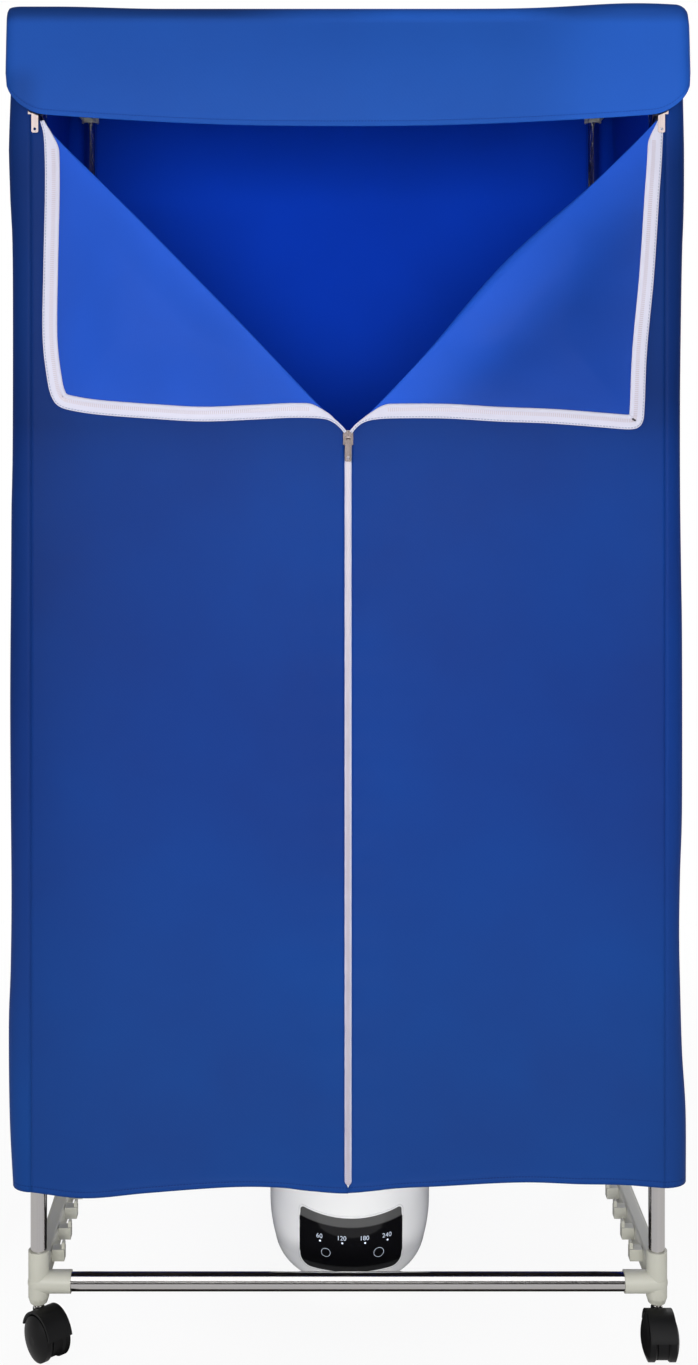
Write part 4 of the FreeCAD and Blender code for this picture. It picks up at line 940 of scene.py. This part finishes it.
def valance_sheet():
    """From the free edge up: a bowed face, a soft roll over the top, and both ends turned back in a round."""
    share = np.linspace(-1, 1, VALANCE_COLUMNS)
    x = VALANCE_HALF * np.sin(share * math.pi / 2) * 0.35 + VALANCE_HALF * share * 0.65
    end = np.clip((np.abs(x) - (VALANCE_HALF - END_ROUND)) / END_ROUND, 0, 1)
    turned = 1 - np.sqrt(1 - end ** 2)
    puffed = PUFF_LEFT * ramp(-x, 0.20, 0.12) + PUFF_RIGHT * np.exp(-((x - 0.315) / 0.085) ** 2)
    dropped = turned * np.where(x > 0, DROP_RIGHT, DROP_LEFT)
    high = TOP_Z + VALANCE_PROUD + puffed - dropped
    low = valance_edge(x)
    shoulder = high - ROLL_HEIGHT
    rise = np.linspace(0, 1, 60)[:, None]
    face_z = low + (shoulder - low) * rise
    down = (shoulder - face_z) / (TOP_Z - ROLL_HEIGHT - VALANCE_LOW)
    bowed = VALANCE_BOW * np.sin(math.pi * np.clip(down, 0, 1))
    face_out = SHOULDER_OUT + (VALANCE_OUT - SHOULDER_OUT) * down + bowed
    wave = VALANCE_WAVE * np.sin(9 * x + 0.7) + VALANCE_CREASE * np.sin(27 * x + 2)
    face_out = face_out + wave * np.clip(down / 0.3, 0, 1)
    over = np.radians(np.linspace(0, ROLL_TURN, 22)[1:])[:, None]
    roll_z = shoulder + ROLL_HEIGHT * np.sin(over) - puffed * ramp(over, math.pi / 2, 0.6)
    roll_out = SHOULDER_OUT - ROLL_DEPTH * (1 - np.cos(over)) + 0 * x
    z = np.concatenate([face_z, roll_z])
    out = np.concatenate([face_out, roll_out]) - END_DEPTH * turned
    return together(x, -WALL_Y - out, z)


def valance_painted_light(points):
    """Painted light and shade: lighter towards the right end; along the top lip painted shade, a painted
    highlight and shade again; the low left end in painted shade.
    """
    x, z = points[..., 0], points[..., 2]
    lighter = 0.36 * ramp(x, 0.16, 0.15)
    lip = ramp(z, 1.4520, 0.0130)
    deep = 0.46 * (1 - ramp(x, -0.14, 0.12)) + 0.34 * ramp(x, 0.20, 0.05)
    light = 0.30 * ramp(x, -0.02, 0.08) * (1 - ramp(x, 0.17, 0.05))
    low_end = 0.25 * ramp(-x, 0.325, 0.03) * ramp(-z, -1.415, 0.03)
    share = (1 + lighter) * (1 + lip * (light - deep)) * (1 - low_end)
    return together(share, share, share)


# The valance's colour carries painted light and shade.
hanging = valance_sheet()
sheet_of("valance_cloth_sheet", hanging, valance_cloth, cover_cloth,
         ("frame", "valance"), ["valance"], VALANCE_BEND, valance_painted_light(hanging))

# Flaps: the upper front folded outwards on both sides of the opening, which shows the lighter inner side.
# The cloth rolls over softly along the slanting fold, crisper on the left than on the right.
INNER_BLUE = (0.0105, 0.076, 0.495)
INNER_DEEP = (0.0085, 0.061, 0.395)
NO_HEM = -1.0
FLAP_ROLL_ROWS = 10
FLAP_ROWS = 46
FLAP_COLUMNS = 141
FLAP_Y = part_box("flap_left")[0][1]
FLAP_WAVE = 0.0008
FOLD_REST = 0.0016
FOLD_X, FOLD_Y = 0.16, -0.2374
FOLD_BEND = 0.006
TAPE_WIDTH = 0.0160
LEFT_EDGE = ((-0.0042, 1.0098), (-0.0068, 1.0130), (-0.0105, 1.0170), (-0.0165, 1.0216), (-0.0280, 1.0255),
             (-0.0600, 1.0266), (-0.1015, 1.0247), (-0.1580, 1.0226), (-0.2140, 1.0256), (-0.2710, 1.0300),
             (-0.3010, 1.0346), (-0.3140, 1.0390), (-0.3215, 1.0480), (-0.3268, 1.0680), (-0.3318, 1.1150),
             (-0.3310, 1.1900), (-0.3292, 1.2800), (-0.3305, 1.3300), (-0.3345, 1.3487))
RIGHT_EDGE = ((0.0042, 1.0098), (0.0068, 1.0130), (0.0105, 1.0170), (0.0165, 1.0212), (0.0270, 1.0243),
              (0.0506, 1.0259), (0.1070, 1.0257), (0.1630, 1.0225), (0.2200, 1.0203), (0.2770, 1.0160),
              (0.3030, 1.0140), (0.3140, 1.0155), (0.3200, 1.0225), (0.3220, 1.0400), (0.3246, 1.1000),
              (0.3322, 1.1817), (0.3376, 1.2631), (0.3408, 1.3100), (0.3425, 1.3569))
# Under its tape the right flap's cloth ends short of the slider, so that it clears the pull as it turns.
RIGHT_CLOTH_EDGE = RIGHT_EDGE[:-3] + ((0.3345, 1.2631), (0.3351, 1.3100), (0.3352, 1.3495))
flap_cloth = cloth("flap_cloth", INNER_BLUE, INNER_DEEP, THREADS, NO_HEM, 0.45, 0.30)


def flap_sheet(side, edge_points, roll):
    """A folded flap: a half roll along the fold, then lines from the fold to the free edge, bulged."""
    edge = through(edge_points, FLAP_COLUMNS)[0]
    s = np.linspace(0, 1, FLAP_COLUMNS)
    roll_out, roll_deep, bulge = roll(s)
    fold_x = APEX_X + (np.abs(edge[-1, 0]) - APEX_X) * s
    fold = together(side * fold_x, APEX_Z + FOLD_SLOPE * (fold_x - APEX_X))
    along = fold[-1] - fold[0]
    along = along / np.linalg.norm(along)
    up = np.array([-along[1], along[0]]) * (1 if -along[1] * side < 0 else -1)
    near = np.linalg.norm(fold[:, None] - edge, axis=2).min(axis=1)
    ends = ramp(near, TAPE_WIDTH, 0.10)
    out = roll_out * ends
    deep = FOLD_REST + roll_deep * ends
    turn = np.linspace(0, math.pi, FLAP_ROLL_ROWS)[:, None]
    roll_flat = fold + up * (out * np.sin(turn))[..., None]
    roll_y = -WALL_Y - deep * (1 - np.cos(turn)) / 2
    t = np.linspace(0, 1, FLAP_ROWS)[1:, None]
    flat = fold + (edge - fold) * t[..., None]
    reach = np.linalg.norm(edge - fold, axis=1)
    to_edge = np.linalg.norm(flat[:, :, None] - edge, axis=3).min(axis=2)
    loose = ramp(to_edge, TAPE_WIDTH, 0.08)
    settled = 1 - (1 - ramp(t * reach, 0, 0.12)) * loose
    lift = bulge * loose * ramp(t * reach, 0, 0.05)
    wave = FLAP_WAVE * (1 + np.sin(16 * flat[..., 0] + 11 * flat[..., 1])) * loose
    y = -WALL_Y - (deep * (1 - settled) + (-WALL_Y - FLAP_Y) * settled) - lift - wave * settled
    plane = np.concatenate([roll_flat, flat])
    depth = np.concatenate([roll_y, y])
    points = together(plane[..., 0], depth, plane[..., 1])
    return points[:, ::-side]


def fold_bend(side):
    """Two points across the fold: one on the fold and one inside the flap."""
    length = math.hypot(1, FOLD_SLOPE)
    start = (side * FOLD_X, FOLD_Y, APEX_Z + FOLD_SLOPE * (FOLD_X - APEX_X))
    end = (start[0] + side * FOLD_BEND * FOLD_SLOPE / length, FOLD_Y, start[2] - FOLD_BEND / length)
    return start, end


def flap_painted_light(points):
    """Painted light and shade: a painted highlight along the fold; painted shade deepens the right flap away
    from it, and the left near its tape.
    """
    x, z = points[..., 0], points[..., 2]
    away = FOLD_SLOPE * (np.abs(x) - APEX_X) - (z - APEX_Z)
    away = np.clip(away / math.hypot(1, FOLD_SLOPE), 0, 1)
    right = 1.15 - 0.48 * ramp(away, 0, 0.085)
    left = 1.04 + 0.14 * np.exp(-away / 0.02) - 0.28 * np.exp(-(x + 0.325) / 0.025)
    share = np.where(x > 0, right, np.maximum(left, 0.7))
    return together(share, share, share)


def roll_left(along):
    """How far out and how deep the left fold rolls, and how the flap bulges, from the apex to the top."""
    return 0.0022 + 0 * along, 0.0030 + 0 * along, 0.0050 * np.sin(math.pi * along)


def roll_right(along):
    """The same for the right fold, which rolls fuller in the middle."""
    out = 0.0020 + 0.0085 * np.exp(-((along - 0.52) / 0.20) ** 2)
    deep = 0.0040 + 0.0110 * np.exp(-((along - 0.50) / 0.28) ** 2)
    return out, deep, 0.0060 * np.sin(math.pi * along)


# Each flap's colour carries a painted highlight along its fold and painted shade.
for side, name, edge_points, roll in ((-1, "left", LEFT_EDGE, roll_left),
                                      (1, "right", RIGHT_CLOTH_EDGE, roll_right)):
    turned_out = flap_sheet(side, edge_points, roll)
    sheet_of("flap_" + name + "_cloth", turned_out, flap_cloth, cover_cloth,
             ("frame", "flap_" + name), ["flap_" + name],
             fold_bend(side), flap_painted_light(turned_out))

# Zips: pale woven tape with a row of moulded teeth, sewn along the free edges of the flaps and front panels.
# On each flap the tape lies flat and narrows to the sliders; the centre zip is shut below its slider.
TAPE_LIGHT = (0.61, 0.605, 0.715)
TAPE_DEEP = (0.56, 0.555, 0.66)
TAPE_THREADS = 3200.0
TAPE_SEAM = 0.0016
TAPE_CROWN = 0.0005
TAPE_NARROWS = 0.035
TOOTH_TONE = (0.50, 0.45, 0.52)
TOOTH_PITCH = 0.0022
TOOTH = (0.0040, 0.0012, 0.0009)
TOOTH_INSET = 0.0095
FIRST_TOOTH, LAST_TOOTH = 0.045, 0.03
ON_TAPE = 0.0006
ON_TEETH = 0.0014
CENTRE_TAPE = 0.0220
CENTRE_TAPE_IN, CENTRE_TEETH_IN = 0.0010, 0.0002
CENTRE_STAGGER = 0.0006
HEADER_TAPE = 0.0120
HEADER_TAPE_OUT, HEADER_TEETH_OUT, HEADER_TEETH_UP = 0.0006, 0.0012, 0.0010
AXIS_X = np.array([1.0, 0.0, 0.0])
AXIS_Y = np.array([0.0, 1.0, 0.0])
AXIS_Z = np.array([0.0, 0.0, 1.0])
tape_cloth = cloth("tape_cloth", TAPE_LIGHT, TAPE_DEEP, TAPE_THREADS, TAPE_SEAM, 0.62, 0.5)
tooth_plastic = plastic("tooth_plastic", TOOTH_TONE, 2000.0, 0.05, 0.3, 0.1)


def ribbon(edge, inward, y, width):
    """A tape: its free edge carried inwards to its own width at each place, slightly crowned across."""
    across = np.linspace(0, 1, 9)[:, None]
    flat = edge + inward * (width * across)[..., None]
    depth = y - TAPE_CROWN * (1 - (2 * across - 1) ** 4)
    return together(flat[..., 0], depth, flat[..., 1])


def tooth_row(name, middle, along, across, body):
    """A row of small blocks: each has its place, a half length across the tape and a half width along it."""
    signs = np.array([[a, b, c] for a in (-1, 1) for b in (-1, 1) for c in (-1, 1)])
    flat = middle[:, None, :] + across[..., None, :] * (signs[:, 0:1] * TOOTH[0] / 2)
    flat = flat + along[..., None, :] * (signs[:, 1:2] * TOOTH[1] / 2)
    flat = flat + AXIS_Y * (signs[:, 2:3] * TOOTH[2] / 2)
    box = np.array([[0, 1, 3, 2], [4, 6, 7, 5], [0, 4, 5, 1], [2, 3, 7, 6], [0, 2, 6, 4], [1, 5, 7, 3]])
    faces = (box + 8 * np.arange(len(middle))[:, None, None]).reshape(-1, 4).tolist()
    row = plain_mesh(name, flat, faces, tooth_plastic)
    row.data.polygons.foreach_set("use_smooth", np.zeros(len(row.data.polygons), dtype=bool))
    row.data.validate()
    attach(row, body)


def flap_tape(side, name, edge_points):
    """The tape along a flap's free edge, with its teeth, narrowing towards both ends."""
    edge, walked = through(edge_points, 320)
    slope = np.gradient(edge, axis=0)
    slope = slope / np.linalg.norm(slope, axis=1)[:, None]
    inward = together(slope[:, 1], -slope[:, 0]) * -side
    to_top = walked[-1] - walked
    width = TAPE_WIDTH * np.minimum(0.22 + 0.78 * ramp(walked, 0.012, TAPE_NARROWS),
                                    0.30 + 0.70 * ramp(to_top, 0, TAPE_NARROWS))
    points = ribbon(edge, inward, FLAP_Y - ON_TAPE, width)
    sheet_of("flap_tape_" + name, points[:, ::side], tape_cloth, tape_cloth,
             "flap_" + name, ["flap_zip_" + name])
    places = np.arange(FIRST_TOOTH, walked[-1] - LAST_TOOTH, TOOTH_PITCH)
    middle = [np.interp(places, walked, (edge + inward * TOOTH_INSET)[:, k]) for k in (0, 1)]
    run = [np.interp(places, walked, slope[:, k]) for k in (0, 1)]
    centre = together(middle[0], FLAP_Y - ON_TEETH, middle[1])
    along = together(run[0], 0, run[1])
    across = together(run[1], 0, -run[0])
    tooth_row("flap_tape_" + name + "_teeth", centre, along, across, "flap_" + name)


flap_tape(-1, "left", LEFT_EDGE)
flap_tape(1, "right", RIGHT_EDGE)

zip_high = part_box("centre_zip")[1][2]
heights = np.linspace(ZIP_END, zip_high, 260)
edge = together(CENTRE_TAPE / 2, heights)
points = ribbon(edge, np.array([-1.0, 0.0]), -WALL_Y + CENTRE_TAPE_IN, CENTRE_TAPE)
sheet_of("centre_tape", points, tape_cloth, tape_cloth,
         "frame", ["centre_zip"])
heights = np.arange(ZIP_END + 0.002, zip_high, TOOTH_PITCH / 2)
stagger = np.where(np.arange(len(heights)) % 2 == 0, CENTRE_STAGGER, -CENTRE_STAGGER)
centre = together(stagger, -WALL_Y + CENTRE_TEETH_IN, heights)
tooth_row("centre_teeth", centre, AXIS_Z, AXIS_X, "frame")

header_low, header_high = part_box("header_zip")
runs = np.linspace(header_low[0], header_high[0], 200)
edge = together(runs, header_low[2])
points = ribbon(edge, np.array([0.0, 1.0]), -WALL_Y - HEADER_TAPE_OUT, HEADER_TAPE)
sheet_of("header_tape", points, tape_cloth, tape_cloth, "frame",
         ["header_zip"])
runs = np.arange(header_low[0], header_high[0], TOOTH_PITCH)
centre = together(runs, -WALL_Y - HEADER_TEETH_OUT, header_low[2] + HEADER_TEETH_UP)
tooth_row("header_teeth", centre, AXIS_X, AXIS_Z, "frame")

# Sliders and pulls: plated die-cast zinc with a warm nickel tone, faintly streaked along their length.
# The slider's two plates clasp the chain, and the pull hangs from the bridge on the front plate.
NICKEL = (0.50, 0.42, 0.41)
NICKEL_STREAK = 0.75
slider_metal = drawn_steel("slider_metal", "Z", NICKEL, NICKEL_STREAK)
dress(["zip_" + part + "_" + place for part in ("slider", "pull") for place in ("centre", "left", "right")],
      slider_metal)
